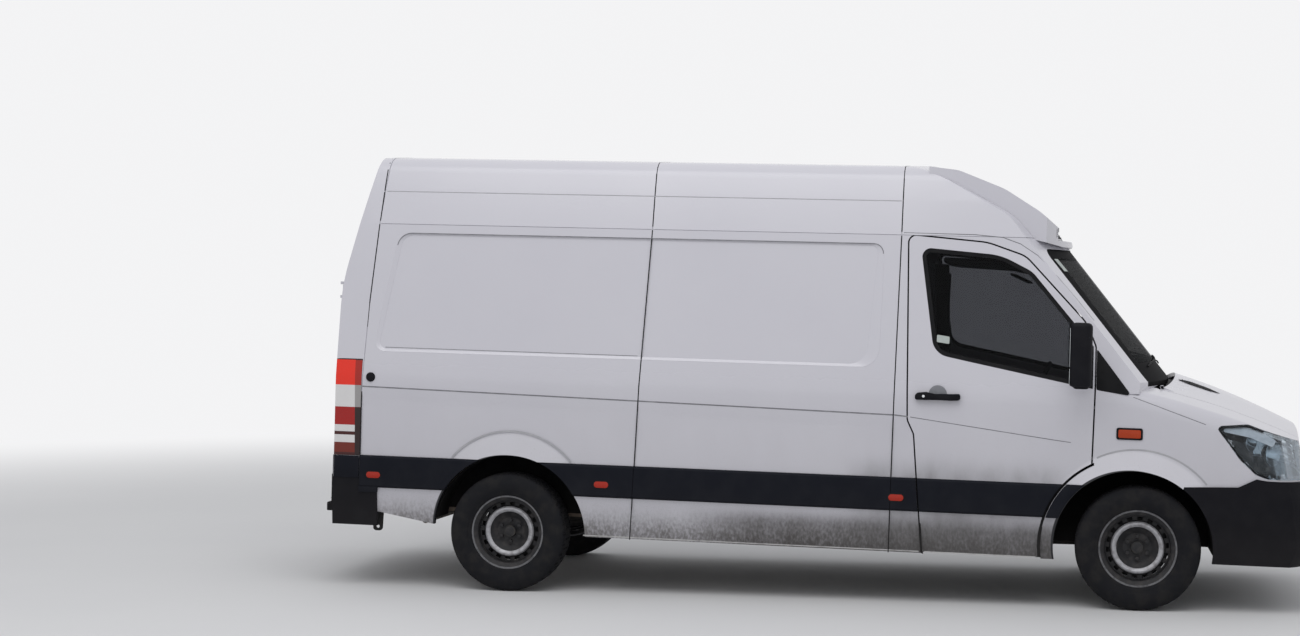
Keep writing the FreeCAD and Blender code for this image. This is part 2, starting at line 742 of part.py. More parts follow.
def bonnet_plan(grow):
    half = [(3500, BONNET_REAR_HALF + grow, 0), (3766, BONNET_REAR_HALF + grow, 20), (4110, 690 + grow, 400),
            (4800, BONNET_FRONT_HALF + grow, 0)]
    return half + [(x, -y, radius) for x, y, radius in reversed(half)]


def rear_of_bonnet(radius):
    """Everything behind the arc that the bonnet's rear edge follows."""
    return Part.makeCylinder(radius, 3000, Vector(ROOF_AXIS_X, 0, 0), Vector(0, 0, 1))


def cowl_zone(grow):
    """Strip between windscreen and bonnet, above the scuttle tray."""
    plan = prism_z([(3500, -BONNET_REAR_HALF - grow, 0), (3950, -BONNET_REAR_HALF - grow, 0),
                    (3950, BONNET_REAR_HALF + grow, 0), (3500, BONNET_REAR_HALF + grow, 0)], 1000, 1600)
    return plan.common(rear_of_bonnet(BONNET_REAR_R))


def bonnet_zone(grow):
    """Volume taken by the bonnet: plan outline above its front edge."""
    plan = prism_z(bonnet_plan(grow), 900, 1600).cut(rear_of_bonnet(BONNET_REAR_R - grow))
    above = prism_y([(3700, 1200 - grow, 0), (4350, 1000 - grow, 0), (4900, 1075 - grow, 0), (4900, 1700, 0),
                     (3700, 1700, 0)], -1000, 1000)
    return plan.common(above)


def bonnet():
    lid = NOSE_OUT.cut(nose(BONNET_T)).common(bonnet_zone(0))
    x, z = BONNET_HINGE_X, BONNET_HINGE_Z
    parts = []
    for side in (-1, 1):
        y = side * BONNET_HINGE_Y
        lid = lid.cut(box((x - 30, x + 13), (y - 30, y + 30), (z - 60, z + 40)))
        arm = fused([rod((x, y - 12, z), (x, y + 12, z), 12),
                     prism_y([(x, z - 12, 0), (x, z + 4, 0), (x + 70, z - 24, 0), (x + 120, z - 40, 0),
                              (x + 120, z - 60, 0), (x + 60, z - 42, 0)], y - 12, y + 12)])
        parts.append(arm.cut(rod((x, y - 30, z), (x, y + 30, z), HINGE_PIN_R + HINGE_FIT)))
    return fused([lid] + parts)


def lamp_zone(grow):
    field = grown_prism(LAMP_OUTLINE, grow, -1100, -400) if grow else prism_y(LAMP_OUTLINE, -1100, -400)
    return field.common(box((4000, 5000), (-1100, -LAMP_INNER_Y + grow), (700, 1300)))


def headlamp_right():
    return NOSE_OUT.cut(nose(LAMP_T)).common(lamp_zone(0)).cut(bonnet_zone(BONNET_GAP))


def bumper_zone(grow):
    outline = [(3700, 300, 0)] + [(x, z + grow, r) for x, z, r in BUMPER_TOP] + [(4800, 300, 0)]
    return prism_y(outline, -1100, 1100)


def fender_right():
    """Wing with arch, lamp cut-out, bonnet edge and the piece down behind the wheel."""
    wing = NOSE_SHELL.common(box((DOOR_POST_X[0], 5000), (-1100, -LAMP_INNER_Y + 20), (SILL_Z, 1700)))
    for zone in (bonnet_zone(BONNET_GAP), lamp_zone(SEAT_GAP), bumper_zone(SEAT_GAP), cowl_zone(1)):
        wing = wing.cut(zone)
    wing = wing.cut(OUTER.common(box((3000, 5000), (-1100, 1100), (FENDER_TOP_Z, 3000))))
    foot = OUTER.cut(house(NOSE_WALL)).common(box((3000, DOOR_POST_X[0]), (-1100, -800), (SILL_Z, 900)))
    foot = foot.common(arch_cut(FRONT_ARCH, DOOR_ARCH_R - DOOR_ARCH_GAP, 700))
    ahead = box((DOOR_POST_X[0], 5000), (-1100, 0), (0, 2000))
    off_door = ahead.fuse(arch_cut(FRONT_ARCH, DOOR_ARCH_R - DOOR_ARCH_GAP, 700))
    lip = flare(FLARE_FRONT, SIDE_Y).common(off_door).cut(bumper_zone(SEAT_GAP))
    hinge_post = box((DOOR_POST_X[0] - 1, DOOR_POST_X[1] + SEAT_GAP), (DOOR_POST_Y[0] - SEAT_GAP, -800),
                     (690, DOOR_POST_TOP + 10))
    wing = fused([wing, foot, lip]).cut(hinge_post)
    return wing.cut(arch_cut(FRONT_ARCH, ARCH_R_FRONT, 700)).removeSplitter()


def cowl():
    """Scuttle tray between bonnet and windscreen, plenum behind it and the bonnet's hinge pins."""
    tray = nose(COWL_DROP).cut(nose(COWL_DROP + COWL_T)).common(
        box((3700, 4000), (-BONNET_REAR_HALF + 6, BONNET_REAR_HALF - 6), (1100, 1600)))
    tray = tray.common(rear_of_bonnet(BONNET_REAR_R + 30))
    wall = box((3700, 3712), (-720, 720), (1228, 1500)).common(nose(COWL_DROP))
    shelf = box((3560, 3712), (-720, 720), (1228, 1240))
    parts = [tray, wall, shelf]
    for side in (-1, 1):
        y = side * BONNET_HINGE_Y
        x, z = BONNET_HINGE_X, BONNET_HINGE_Z
        parts.append(rod((x, y - 24, z), (x, y + 24, z), HINGE_PIN_R))
        for low in (y - 24, y + 14):
            parts.append(box((x - 8, x + 7), (low, low + 10), (z - 95, z + 8)))
    return fused(parts)


def front_bumper():
    skin = bumper_hull(0).cut(bumper_hull(BUMPER_T)).common(bumper_zone(0))
    skin = skin.common(box((3700, 5000), (-1100, 1100), (BUMPER_ROWS[0][0], 900)))
    arch = arch_cut(FRONT_ARCH, ARCH_R_FRONT, 700)
    skin = skin.cut(arch).cut(mirrored(arch))
    intake = prism_x([(-520, 470, 20), (-520, 560, 20), (520, 560, 20), (520, 470, 20)], 4500, 4800)
    return skin.cut(intake)


def grille():
    """Framed opening with bars between the lamps."""
    half = LAMP_INNER_Y - 20 - SEAT_GAP
    face = nose(0).cut(nose(24)).common(box((4300, 5000), (-half, half), (838, 1150)))
    hole = prism_x([(-560, 868, 30), (-540, 1040, 30), (540, 1040, 30), (560, 868, 30)], 4300, 4900)
    frame = face.cut(hole)
    bars = [nose(6).cut(nose(34)).common(box((4300, 4900), (-575, 575), (z, z + 14)))
            for z in (900, 945, 990)]
    posts = [nose(10).cut(nose(34)).common(box((4300, 4900), (y - 6, y + 6), (850, 1055)))
             for y in (-190, 190)]
    return fused([frame] + bars + posts).cut(bonnet_zone(BONNET_GAP))


# Roof-front housing of the cooling unit

def roof_fairing():
    """Housing that fills the slope between roof and windscreen, with a front mouth."""
    line = [(2420, 2300, 0), (2420, 2578, 0), (2590, 2560, 200), (2860, 2455, 300), (3060, 2330, 300),
            (3245, 2180, 40), (3262, 2128, 10), (3200, 2128, 0), (3100, 2150, 0)]
    body = prism_y(line, -730, 730)
    axis = Vector(ROOF_AXIS_X, 0, 0)
    plan = Part.makeCylinder(3262 - ROOF_AXIS_X, 3000, axis, Vector(0, 0, 1))
    plan = plan.fuse(box((1000, 2500), (-730, 730), (0, 3000)))
    body = body.common(plan).cut(house(-SEAT_GAP))
    mouth = prism_y([(3090, 2168, 10), (3140, 2250, 10), (3300, 2190, 0), (3300, 2160, 0)], -560, 560)
    return body.cut(mouth)


# Floors and interior

def wheel_box(centre, radius, inner_y):
    """Right-hand inner wheelhouse: half tunnel closed on the inside."""
    outer = arch_cut(centre, radius + LINER_T, inner_y, 934)
    inside = arch_cut(centre, radius, inner_y + LINER_T, 1000)
    return outer.cut(inside).common(box((-2000, 5000), (-1100, 0), (centre[1] + AXLE_ROOM, 2000)))


def load_floor():
    low = FLOOR_Z - FLOOR_T
    side = SIDE_Y - WALL
    plate = box((FLOOR_REAR_X, BULKHEAD_X - SEAT_GAP), (-side + 1, side - 1), (low, FLOOR_Z))
    cutter = arch_cut(REAR_ARCH, ARCH_R_REAR + LINER_T - 1, WHEELHOUSE_Y + 1, 1000)
    wheel = wheel_box(REAR_ARCH, ARCH_R_REAR, WHEELHOUSE_Y).common(house(WALL + SEAT_GAP))
    sill = box((760, BULKHEAD_X - SEAT_GAP), (-side, -side + 45), (BELT_LOW, low))
    tail = box((FLOOR_REAR_X, FLOOR_REAR_X + TAIL_BAR), (-side, side), (BELT_LOW, low))
    plate = plate.cut(cutter).cut(mirrored(cutter))
    return fused([plate, wheel, mirrored(wheel), sill, mirrored(sill), tail])


def bulkhead():
    low = CAB_FLOOR_Z
    return house(WALL + SEAT_GAP).common(box((BULKHEAD_X, BULKHEAD_X + 26), (-1000, 1000), (low, 2600)))


def cab_floor():
    side = SIDE_Y - WALL
    plate = box((BULKHEAD_X + 26, DASH_WALL_X + 20), (-side, side), (CAB_FLOOR_Z - 20, CAB_FLOOR_Z))
    ledge = box((BULKHEAD_X, BULKHEAD_X + 26), (-side + 20, side - 20), (CAB_FLOOR_Z - 20, CAB_FLOOR_Z))
    seat_box = box((2320, 2900), (-830, 830), (CAB_FLOOR_Z, SEAT_BOX_Z)).cut(
        box((2340, 2880), (-810, 810), (CAB_FLOOR_Z - 1, SEAT_BOX_Z - 18)))
    wall = box((DASH_WALL_X, DASH_WALL_X + 20), (-side + 60, side - 60), (CAB_FLOOR_Z, 1240))
    cutter = arch_cut(FRONT_ARCH, ARCH_R_FRONT + LINER_T + SEAT_GAP, STEER_HOUSE_Y - LINER_T - SEAT_GAP)
    doorway = OUTER.cut(house(WALL + 6)).common(grown_prism(DOOR_OUTLINE, DOOR_GAP, -1100, -400))
    floor = fused([plate, ledge, seat_box, wall]).common(house(WALL + SEAT_GAP))
    for shape in (cutter, doorway):
        floor = floor.cut(shape).cut(mirrored(shape))
    return floor


def arch_liners():
    """Front wheelhouses: half tunnels closed on the inside."""
    outer = arch_cut(FRONT_ARCH, ARCH_R_FRONT + LINER_T, STEER_HOUSE_Y - LINER_T)
    inside = arch_cut(FRONT_ARCH, ARCH_R_FRONT, STEER_HOUSE_Y)
    within = NOSE_WALL + SEAT_GAP
    behind = house(within).common(box((3000, DOOR_POST_X[0]), (-1100, 0), (FRONT_ARCH[1] - 20, 2000)))
    ahead = nose(within).common(box((DOOR_POST_X[0], 5000), (-1100, 0), (FRONT_ARCH[1] - 20, 2000)))
    return both(outer.cut(inside).common(behind.fuse(ahead)))


def dashboard():
    back = DASH_WALL_X - SEAT_GAP
    outline = [(3180, 1085, 30), (3195, 1240, 40), (3300, 1315, 60), (back, 1330, 0), (back, 960, 0),
               (3300, 960, 60)]
    axis = column_axis()
    column = Part.makeCylinder(COLUMN_R, (COLUMN_HIGH - COLUMN_LOW).Length, COLUMN_LOW, axis)
    sleeve = Part.makeCylinder(SLEEVE_R, (COLUMN_HIGH - COLUMN_LOW).Length - 40, COLUMN_LOW, axis)
    return fused([prism_y(outline, -868, 868), column, sleeve])


def column_axis():
    """Unit vector up the steering column."""
    return (COLUMN_HIGH - COLUMN_LOW).normalize()


def steering_wheel():
    axis = column_axis()
    centre = COLUMN_HIGH + axis * 10
    angles = [math.pi * i / 3 for i in range(6)]
    section = [(RIM_RADIUS + RIM_BAR_R * math.cos(a), RIM_BAR_R * math.sin(a), 0) for a in angles]
    rim = Part.Face(corner_wire(section, at_y(0))).revolve(Vector(0, 0, 0), Vector(0, 0, 1), 360)
    rim.Placement = FreeCAD.Placement(centre, FreeCAD.Rotation(Vector(0, 0, 1), axis))
    hub = Part.makeCylinder(52, 44, COLUMN_HIGH - axis * 26, axis)
    across = Vector(0, 1, 0)
    down = axis.cross(across)
    spokes = []
    for way in (across, across * -1, down if down.z < 0 else down * -1):
        spokes.append(Part.makeCylinder(11, 182, centre, way))
    bore = Part.makeCylinder(COLUMN_R + HINGE_FIT, 42, COLUMN_HIGH - axis * 40, axis)
    return fused([rim, hub] + spokes).cut(bore)


def seats():
    solids = []
    for low, high in ((-760, -210), (-120, 760)):
        cushion = prism_y([(2400, SEAT_BOX_Z, 20), (2400, 950, 30), (2900, 985, 50), (2900, SEAT_BOX_Z, 20)],
                          low, high)
        back = prism_y([(2400, 930, 10), (2300, 1590, 40), (2400, 1600, 50), (2540, 940, 30)], low, high)
        heads = [(low + high) / 2] if high < 0 else [low + 220, high - 220]
        pad = [(2310, 1630, 20), (2290, 1790, 40), (2380, 1800, 40), (2400, 1630, 20)]
        rests = [prism_y(pad, y - 130, y + 130) for y in heads]
        stems = [rod((2350, y, 1580), (2350, y, 1640), 9) for y in heads]
        solids.append(fused([cushion, back] + rests + stems))
    return Part.makeCompound(solids)


# Chassis

def chassis_frame():
    top = FLOOR_Z - FLOOR_T
    cab_low = CAB_FLOOR_Z - 20
    rear = FLOOR_REAR_X + TAIL_BAR + SEAT_GAP
    rail = prism_y([(rear, 575, 0), (rear, top, 0), (BULKHEAD_X - 200, top, 0),
                    (BULKHEAD_X - 20, cab_low, 0),
                    (4420, cab_low, 0), (4420, 440, 0), (700, 470, 0), (420, 575, 0)],
                   -RAIL_Y - RAIL_W / 2, -RAIL_Y + RAIL_W / 2)
    cross = [box((x, x + 60), (-RAIL_Y, RAIL_Y), (480, cab_low)) for x in (900, 1700, 2500)]
    cross.append(box((-960, -900), (-RAIL_Y, RAIL_Y), (590, top)))
    nose_bar = box((4360, 4420), (-620, 620), (445, 530))
    parts = [rail, mirrored(rail), nose_bar] + cross
    for x in (1160, 1990):
        for way in (lambda part: part, mirrored):
            parts.append(way(box((x, x + 50), (-880, -RAIL_Y), (TANK_TOP, cab_low))))
    for end, z in ((REAR_HUB[0] - SPRING_HALF, SPRING_REAR_Z), (REAR_HUB[0] + SPRING_HALF, SPRING_FRONT_Z)):
        hanger = box((end - 5, end + 35) if z == SPRING_REAR_Z else (end - 35, end + 5),
                     (-SPRING_Y - SPRING_W / 2, -RAIL_Y), (z + SPRING_T, z + SPRING_T + 45))
        parts += [hanger, mirrored(hanger)]
    return fused(parts)


def powertrain():
    """Engine block, gearbox and propeller shaft."""
    engine = box((3700, 4330), (-300, 260), (420, 1080))
    gearbox = rod((3710, 0, 425), (3080, 0, 412), 92)
    shaft = rod((3090, 0, 412), (REAR_HUB[0] + DIFF_HALF + DIFF_NOSE + 1, 0, REAR_HUB[1] + 1), 36)
    return fused([engine, gearbox, shaft])


def towing_eye():
    """Eye plate below the rear corner, carried on an arm from the chassis rail."""
    x, z = TOW_EYE
    top = BUMPER_REAR_HIGH - 60
    outline = [(x - 28, z - 26, 20), (x + 28, z - 26, 20), (x + 40, top, 0), (x - 40, top, 0)]
    plate = prism_y(outline, *TOW_EYE_Y)
    arm = box((x - 40, x + 40), (TOW_EYE_Y[0], -RAIL_Y - RAIL_W / 2 - SEAT_GAP), (top - 30, top))
    eye = rod((x, TOW_EYE_Y[0] - 1, z), (x, TOW_EYE_Y[1] + 1, z), TOW_EYE_R)
    return fused([plate, arm]).cut(eye)


def fuel_tank():
    """Tank under the left sill, hung from the chassis outriggers."""
    return prism_x([(500, 330, 40), (500, TANK_TOP, 20), (860, TANK_TOP, 20), (860, 330, 40)], 1150, 2050)


def exhaust():
    """Pipe with silencer; the tail turns out behind the right rear wheel."""
    route = [Vector(*point) for point in EXHAUST_ROUTE]
    path = Part.makePolygon(route)
    ring = Part.Wire(Part.makeCircle(PIPE_R, route[0], route[1] - route[0]))
    pipe = path.makePipeShell([ring], True, False, 1)
    start, end = [route[1] + (route[2] - route[1]) * ((route[1].x - x) / (route[1].x - route[2].x))
                  for x in SILENCER_X]
    silencer = rod(start, end, SILENCER_R)
    hanger = box((1320, 1350), (-RAIL_Y + RAIL_W / 2 + SEAT_GAP, route[1].y), (start.z + 40, start.z + 85))
    inward = (route[-2] - route[-1]).normalize()
    outlet = rod(EXHAUST_ROUTE[-1], route[-1] + inward * PIPE_BORE_L, PIPE_BORE_R)
    return fused([pipe, silencer, hanger]).cut(outlet)


def rear_axle():
    """Beam with differential, spring seats and hubs."""
    x, z = REAR_HUB
    half = TRACK_REAR / 2 - 60
    beam = rod((x, -half, z), (x, half, z), BEAM_R)
    diff = rod((x - DIFF_HALF, 0, z), (x + DIFF_HALF, 0, z), DIFF_R)
    snout = Part.makeCone(DIFF_R, BEAM_R, DIFF_NOSE, Vector(x + DIFF_HALF, 0, z), Vector(1, 0, 0))
    cover = Part.makeCone(DIFF_R, DIFF_R / 2, DIFF_NOSE / 2, Vector(x - DIFF_HALF, 0, z), Vector(-1, 0, 0))
    parts = [beam, diff, snout, cover]
    for side in (-1, 1):
        parts.append(rod((x, side * half, z), (x, side * (TRACK_REAR / 2 + 30), z), HUB_R))
        low, high = sorted((side * (SPRING_Y - 32), side * (SPRING_Y + 32)))
        parts.append(box((x - 45, x + 45), (low, high), (z, z + SPRING_SEAT_Z)))
    return fused(parts)


def leaf_springs():
    """Leaf packs, seated on the axle and hung from the frame at both ends."""
    x, z = REAR_HUB
    low = z + SPRING_SEAT_Z
    leaf = prism_y([(x - SPRING_HALF, SPRING_REAR_Z, 0), (x - 46, low, 120), (x + 46, low, 120),
                    (x + SPRING_HALF, SPRING_FRONT_Z, 0), (x + SPRING_HALF, SPRING_FRONT_Z + SPRING_T, 0),
                    (x + 46, low + SPRING_T, 120), (x - 46, low + SPRING_T, 120),
                    (x - SPRING_HALF, SPRING_REAR_Z + SPRING_T, 0)],
                   -SPRING_Y - SPRING_W / 2, -SPRING_Y + SPRING_W / 2)
    return both(leaf)


def unraked(shape):
    """A level-ground shape seen in the body's frame."""
    turned = shape.copy()
    turned.rotate(Vector(0, 0, 0), Vector(0, 1, 0), -RAKE)
    return turned


def front_axle():
    """Cross member under the rails, lower arms and kingpins."""
    along = (FRONT_HUB[0] - 90, FRONT_HUB[0] + 60)
    half = RAIL_Y + RAIL_W / 2
    parts = [box(along, (-half, half), (ARM_LOW + 4, ARM_LOW + 46))]
    for side in (-1, 1):
        riser = sorted((side * (RAIL_Y - RAIL_W / 2), side * half))
        parts.append(box(along, riser, (ARM_LOW + 4, AXLE_SEAT_Z - SEAT_GAP)))
        low, high = sorted((side * 400, side * (KINGPIN_Y + 20)))
        arm = box((WHEELBASE - 35, WHEELBASE + 35), (low, high), (ARM_LOW, ARM_LOW + ARM_T))
        pin = rod((WHEELBASE, side * KINGPIN_Y, ARM_LOW), (WHEELBASE, side * KINGPIN_Y, 560), KINGPIN_R)
        parts.append(unraked(fused([arm, pin])))
    return fused(parts)


def knuckle_right():
    """Knuckle turning on the kingpin with the wheel's spindle."""
    y = -KINGPIN_Y
    low = ARM_LOW + ARM_T + SEAT_GAP
    post = rod((WHEELBASE, y, low), (WHEELBASE, y, 420), 32)
    stub = rod((WHEELBASE, y - 25, TYRE_R), (WHEELBASE, -TRACK_FRONT / 2 - 30, TYRE_R), HUB_R)
    arm = box((WHEELBASE - 150, WHEELBASE - 20), (y - 12, y + 12), (310, 330))
    bore = rod((WHEELBASE, y, 200), (WHEELBASE, y, 600), KINGPIN_R + HINGE_FIT)
    return fused([post, stub, arm]).cut(bore)


# Wheels

def ring(outline):
    """Solid of revolution about the Y axis from (y, radius) corners."""
    face = Part.Face(corner_wire([(radius, y, 0) for y, radius in outline], lambda p: Vector(p.x, p.y, 0)))
    return face.revolve(Vector(0, 0, 0), Vector(0, 1, 0), 360)


def wheel_disc(x, side, track):
    """Pressed steel wheel: rim section and dished disc pierced by a ring of vents."""
    middle = track / 2
    outer = middle + RIM_W / 2
    half = [(RIM_W / 2 - 22, RIM_WELL_R - RIM_T), (RIM_W / 2, RIM_R - RIM_T), (RIM_W / 2, RIM_R),
            (RIM_W / 2 - 18, RIM_WELL_R)]
    profile = [(middle + out, radius) for out, radius in half]
    profile += [(middle - out, radius) for out, radius in reversed(half)]
    front = [(outer - back, radius) for radius, back in DISC_ROWS]
    rear = [(outer - back - DISC_T, radius) for radius, back in DISC_ROWS[::-1]]
    wheel = fused([ring(profile), ring(front + rear)])
    vents = []
    for i in range(VENTS):
        angle = 2 * math.pi * i / VENTS
        x_vent, z_vent = VENT_RING * math.cos(angle), VENT_RING * math.sin(angle)
        vents.append(rod((x_vent, middle, z_vent), (x_vent, outer + 20, z_vent), VENT_R))
    wheel = wheel.cut(Part.makeCompound(vents))
    wheel.translate(Vector(x, 0, TYRE_R))
    return mirrored(wheel) if side < 0 else wheel


def tyre(x, side, track):
    """Tyre carcass with straight walls, seated on the rim's flanges."""
    half = TYRE_W / 2
    corners = [(-half + 8, RIM_R + 1), (-half + 22, TYRE_R), (half - 22, TYRE_R), (half - 8, RIM_R + 1)]
    carcass = ring([(track / 2 + y, radius) for y, radius in corners])
    carcass.translate(Vector(x, 0, TYRE_R))
    return mirrored(carcass) if side < 0 else carcass


def main():
    os.makedirs("parts", exist_ok=True)
    save("quarter_right", quarter_right())
    save("quarter_left", quarter_left())
    save("mid_panel_right", mid_right())
    save("mid_frame_left", mid_left())
    save("sliding_door", sliding_door())
    save("roof", roof())
    save("rear_frame", rear_frame())
    rear_leaf = rear_door_right()
    save("rear_door_right", rear_leaf)
    save("rear_door_left", mirrored(rear_leaf))
    save("tail_lamps", both(tail_lamp_right()))
    save("rear_bumper", rear_bumper())
    save("cab_frame", cab_frame())
    save("windscreen", windscreen())
    pairs = [("door", door_right), ("door_glass", door_glass_right), ("door_trim", door_trim_right),
             ("mirror", mirror_right), ("fender", fender_right)]
    for name, make in pairs:
        shape = make()
        save(name + "_right", shape)
        save(name + "_left", mirrored(shape))
    save("rub_strips", rub_strips())
    save("bonnet", bonnet())
    save("headlamps", both(headlamp_right()))
    save("front_bumper", front_bumper())
    save("grille", grille())
    save("cowl", cowl())
    save("roof_fairing", roof_fairing())
    save("load_floor", load_floor())
    save("bulkhead", bulkhead())
    save("cab_floor", cab_floor())
    save("dashboard", dashboard())
    save("seats", seats())
    save("chassis_frame", chassis_frame())
    save("powertrain", powertrain())
    save("towing_eye", towing_eye())
    save("fuel_tank", fuel_tank())
    save("exhaust", exhaust())
    save("leaf_springs", leaf_springs())
    save("rear_axle", rear_axle())
    save("front_axle", front_axle())
    save("arch_liners", arch_liners())
    save("marker_lamps", marker_lamps())
    save("steering_wheel", steering_wheel())
    knuckle = knuckle_right()
    save("knuckle_right", knuckle, on_ground)
    save("knuckle_left", mirrored(knuckle), on_ground)
    wheels = [("front_right", WHEELBASE, -1, TRACK_FRONT), ("front_left", WHEELBASE, 1, TRACK_FRONT),
              ("rear_right", 0, -1, TRACK_REAR), ("rear_left", 0, 1, TRACK_REAR)]
    for name, x, side, track in wheels:
        save("wheel_" + name, wheel_disc(x, side, track), on_ground)
        save("tyre_" + name, tyre(x, side, track), on_ground)


main()
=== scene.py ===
import json
import math

import bpy
from mathutils import Matrix, Vector
from mathutils.bvhtree import BVHTree


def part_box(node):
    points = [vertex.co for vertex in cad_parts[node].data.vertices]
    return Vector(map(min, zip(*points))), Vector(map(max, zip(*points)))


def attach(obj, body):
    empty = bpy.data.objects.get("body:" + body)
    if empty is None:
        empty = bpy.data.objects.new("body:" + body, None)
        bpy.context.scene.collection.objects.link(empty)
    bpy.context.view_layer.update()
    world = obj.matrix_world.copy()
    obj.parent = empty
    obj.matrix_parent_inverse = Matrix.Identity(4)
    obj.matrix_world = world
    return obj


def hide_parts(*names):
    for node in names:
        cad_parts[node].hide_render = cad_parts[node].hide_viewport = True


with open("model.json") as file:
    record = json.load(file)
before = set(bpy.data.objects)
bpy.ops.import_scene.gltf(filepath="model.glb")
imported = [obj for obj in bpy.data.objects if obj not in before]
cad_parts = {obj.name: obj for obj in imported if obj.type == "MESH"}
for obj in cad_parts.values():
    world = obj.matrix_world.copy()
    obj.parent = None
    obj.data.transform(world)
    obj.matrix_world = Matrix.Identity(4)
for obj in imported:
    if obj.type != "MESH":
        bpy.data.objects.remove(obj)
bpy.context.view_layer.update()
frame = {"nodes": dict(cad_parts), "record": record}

# Metres. The van is drawn level, X forward from the rear axle, and PLACE rakes it nose down
# about the rear wheels' contact with the ground, as the CAD body is. -Y is its right side.
RAKE = math.radians(1.2)
tyre_low, tyre_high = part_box("tyre_rear_right")
REAR_X = (tyre_low[0] + tyre_high[0]) / 2
TYRE_R = (tyre_high[2] - tyre_low[2]) / 2
REAR_Y = (tyre_low[1] + tyre_high[1]) / 2
tyre_low, tyre_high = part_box("tyre_front_right")
FRONT_X = (tyre_low[0] + tyre_high[0]) / 2
FRONT_Y = (tyre_low[1] + tyre_high[1]) / 2
PLACE = Matrix.Translation((REAR_X, 0, 0)) @ Matrix.Rotation(RAKE, 4, "Y")

# Side of the body: half-widths at belt and roof seam, and their heights
SIDE_Y = 0.985
BELT_Z = 1.250
SEAM_Z = 2.171
SEAM_Y = 0.848
SEAM_Y_FRONT = 0.775
TAPER_FROM = 2.300
TAPER_TO = 3.950

# Arches: centre x, z and radius of the openings, of the wing's rear edge and of the door's cut
REAR_ARCH = (0.0017, 0.350)
REAR_ARCH_R = 0.4585
FRONT_ARCH = (3.6269, 0.426)
FRONT_ARCH_R = 0.442
WING_EDGE_R = 0.515
DOOR_ARCH_R = 0.530
# Raised lips over the arches: centre x, z and outer radius
FLARES = {"rear": (0.014, 0.478, 0.478), "front": (3.641, 0.494, 0.496)}
# Height at which the lips end, and the rub strip's edges on the wing behind the wheel
FLARE_FOOT = 0.785
STRIP_LOW = 0.584
STRIP_HIGH = 0.777

RIM_W = 0.178
SIDES = {"right": -1, "left": 1}
# Where rays towards the right side, the front and the rear start
BESIDE = -1.3
AHEAD = 6
BEHIND = -4
# Distance under which doubles are merged, reach under which a ray has met nothing, and
# thickness of the seam and crease lines
MERGE = 0.00002
MISSED = 0.001
LINE = 0.0006


# Modelling

def object_mode():
    """Leave edit mode."""
    if bpy.context.mode != "OBJECT":
        bpy.ops.object.mode_set(mode="OBJECT")


def only(*objs):
    """Object mode, with these objects selected and nothing else."""
    object_mode()
    bpy.ops.object.select_all(action="DESELECT")
    for obj in objs:
        obj.select_set(True)
    if objs:
        bpy.context.view_layer.objects.active = objs[0]


def edit(obj, test=None, kind="FACE"):
    """Edit mode, with everything selected, or the faces or edges that pass the test.

    A face is tested by its centre and normal, an edge by the numbers of its two points.
    """
    only(obj)
    bpy.ops.object.mode_set(mode="EDIT")
    bpy.ops.mesh.select_mode(type=kind)
    bpy.ops.mesh.select_all(action="DESELECT" if test else "SELECT")
    if test:
        object_mode()
        for part in obj.data.edges if kind == "EDGE" else obj.data.polygons:
            seen = test(set(part.vertices)) if kind == "EDGE" else test(part.center, part.normal)
            part.select = bool(seen)
        bpy.ops.object.mode_set(mode="EDIT")


def drop_faces(obj, test):
    """Delete the faces that pass the test."""
    edit(obj, test)
    bpy.ops.mesh.delete(type="FACE")
    object_mode()


def face_outward(obj):
    """Turn the faces outward."""
    edit(obj)
    bpy.ops.mesh.normals_make_consistent(inside=False)
    object_mode()


def tidy(obj, outward=True):
    """Merge doubles and turn the faces outward."""
    edit(obj)
    bpy.ops.mesh.remove_doubles(threshold=MERGE)
    if outward:
        bpy.ops.mesh.normals_make_consistent(inside=False)
    object_mode()


def settle(obj, place=None):
    """Move the object by a matrix, if one is given, and put its place, turn and scale into its mesh."""
    if place is not None:
        obj.matrix_world = place @ obj.matrix_world
    only(obj)
    bpy.ops.object.transform_apply(location=True, rotation=True, scale=True)
    return obj


def modify(obj, kind, **settings):
    """Add a modifier and apply it."""
    only(obj)
    modifier = obj.modifiers.new(kind.title(), kind)
    for key, value in settings.items():
        setattr(modifier, key, value)
    bpy.ops.object.modifier_apply(modifier=modifier.name)


def round_edges(obj, width, segments=2, angle=50):
    """Bevel the edges that are sharper than an angle in degrees."""
    modify(obj, "BEVEL", width=width, segments=segments, limit_method="ANGLE",
           angle_limit=math.radians(angle))


def finish(obj, name, material, body="body", raked=True, angle=30):
    """Name, place, smooth and dress a finished piece, and let it ride its body."""
    obj.name = name
    settle(obj, PLACE if raked else None)
    bpy.ops.object.shade_smooth_by_angle(angle=math.radians(angle))
    materials = material if isinstance(material, list) else [material]
    if len(obj.data.materials) != len(materials):
        obj.data.materials.clear()
        for one in materials:
            obj.data.materials.append(one)
    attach(obj, body)
    return obj


def twin(obj, place=None):
    """Copy with its own mesh, moved by a matrix."""
    copy = obj.copy()
    copy.data = obj.data.copy()
    bpy.context.collection.objects.link(copy)
    if place is not None:
        settle(copy, place)
        if place.determinant() < 0:
            face_outward(copy)
    return copy


MIRROR = Matrix.Scale(-1, 4, (0, 1, 0))


def pair(piece, name, material, body="body", angle=30):
    """Finish a right-hand piece and its mirror image; a body ending in _ is each side's own."""
    made = []
    for side, way in SIDES.items():
        one = twin(piece, MIRROR if way > 0 else None)
        own = body + side if body.endswith("_") else body
        made.append(finish(one, name + side, material, own, angle=angle))
    bpy.data.objects.remove(piece)
    return made


def left_only(piece, name, material, angle=30):
    """Finish the mirror image of a right-hand piece, without the piece itself."""
    finish(twin(piece, MIRROR), name, material, angle=angle)
    bpy.data.objects.remove(piece)


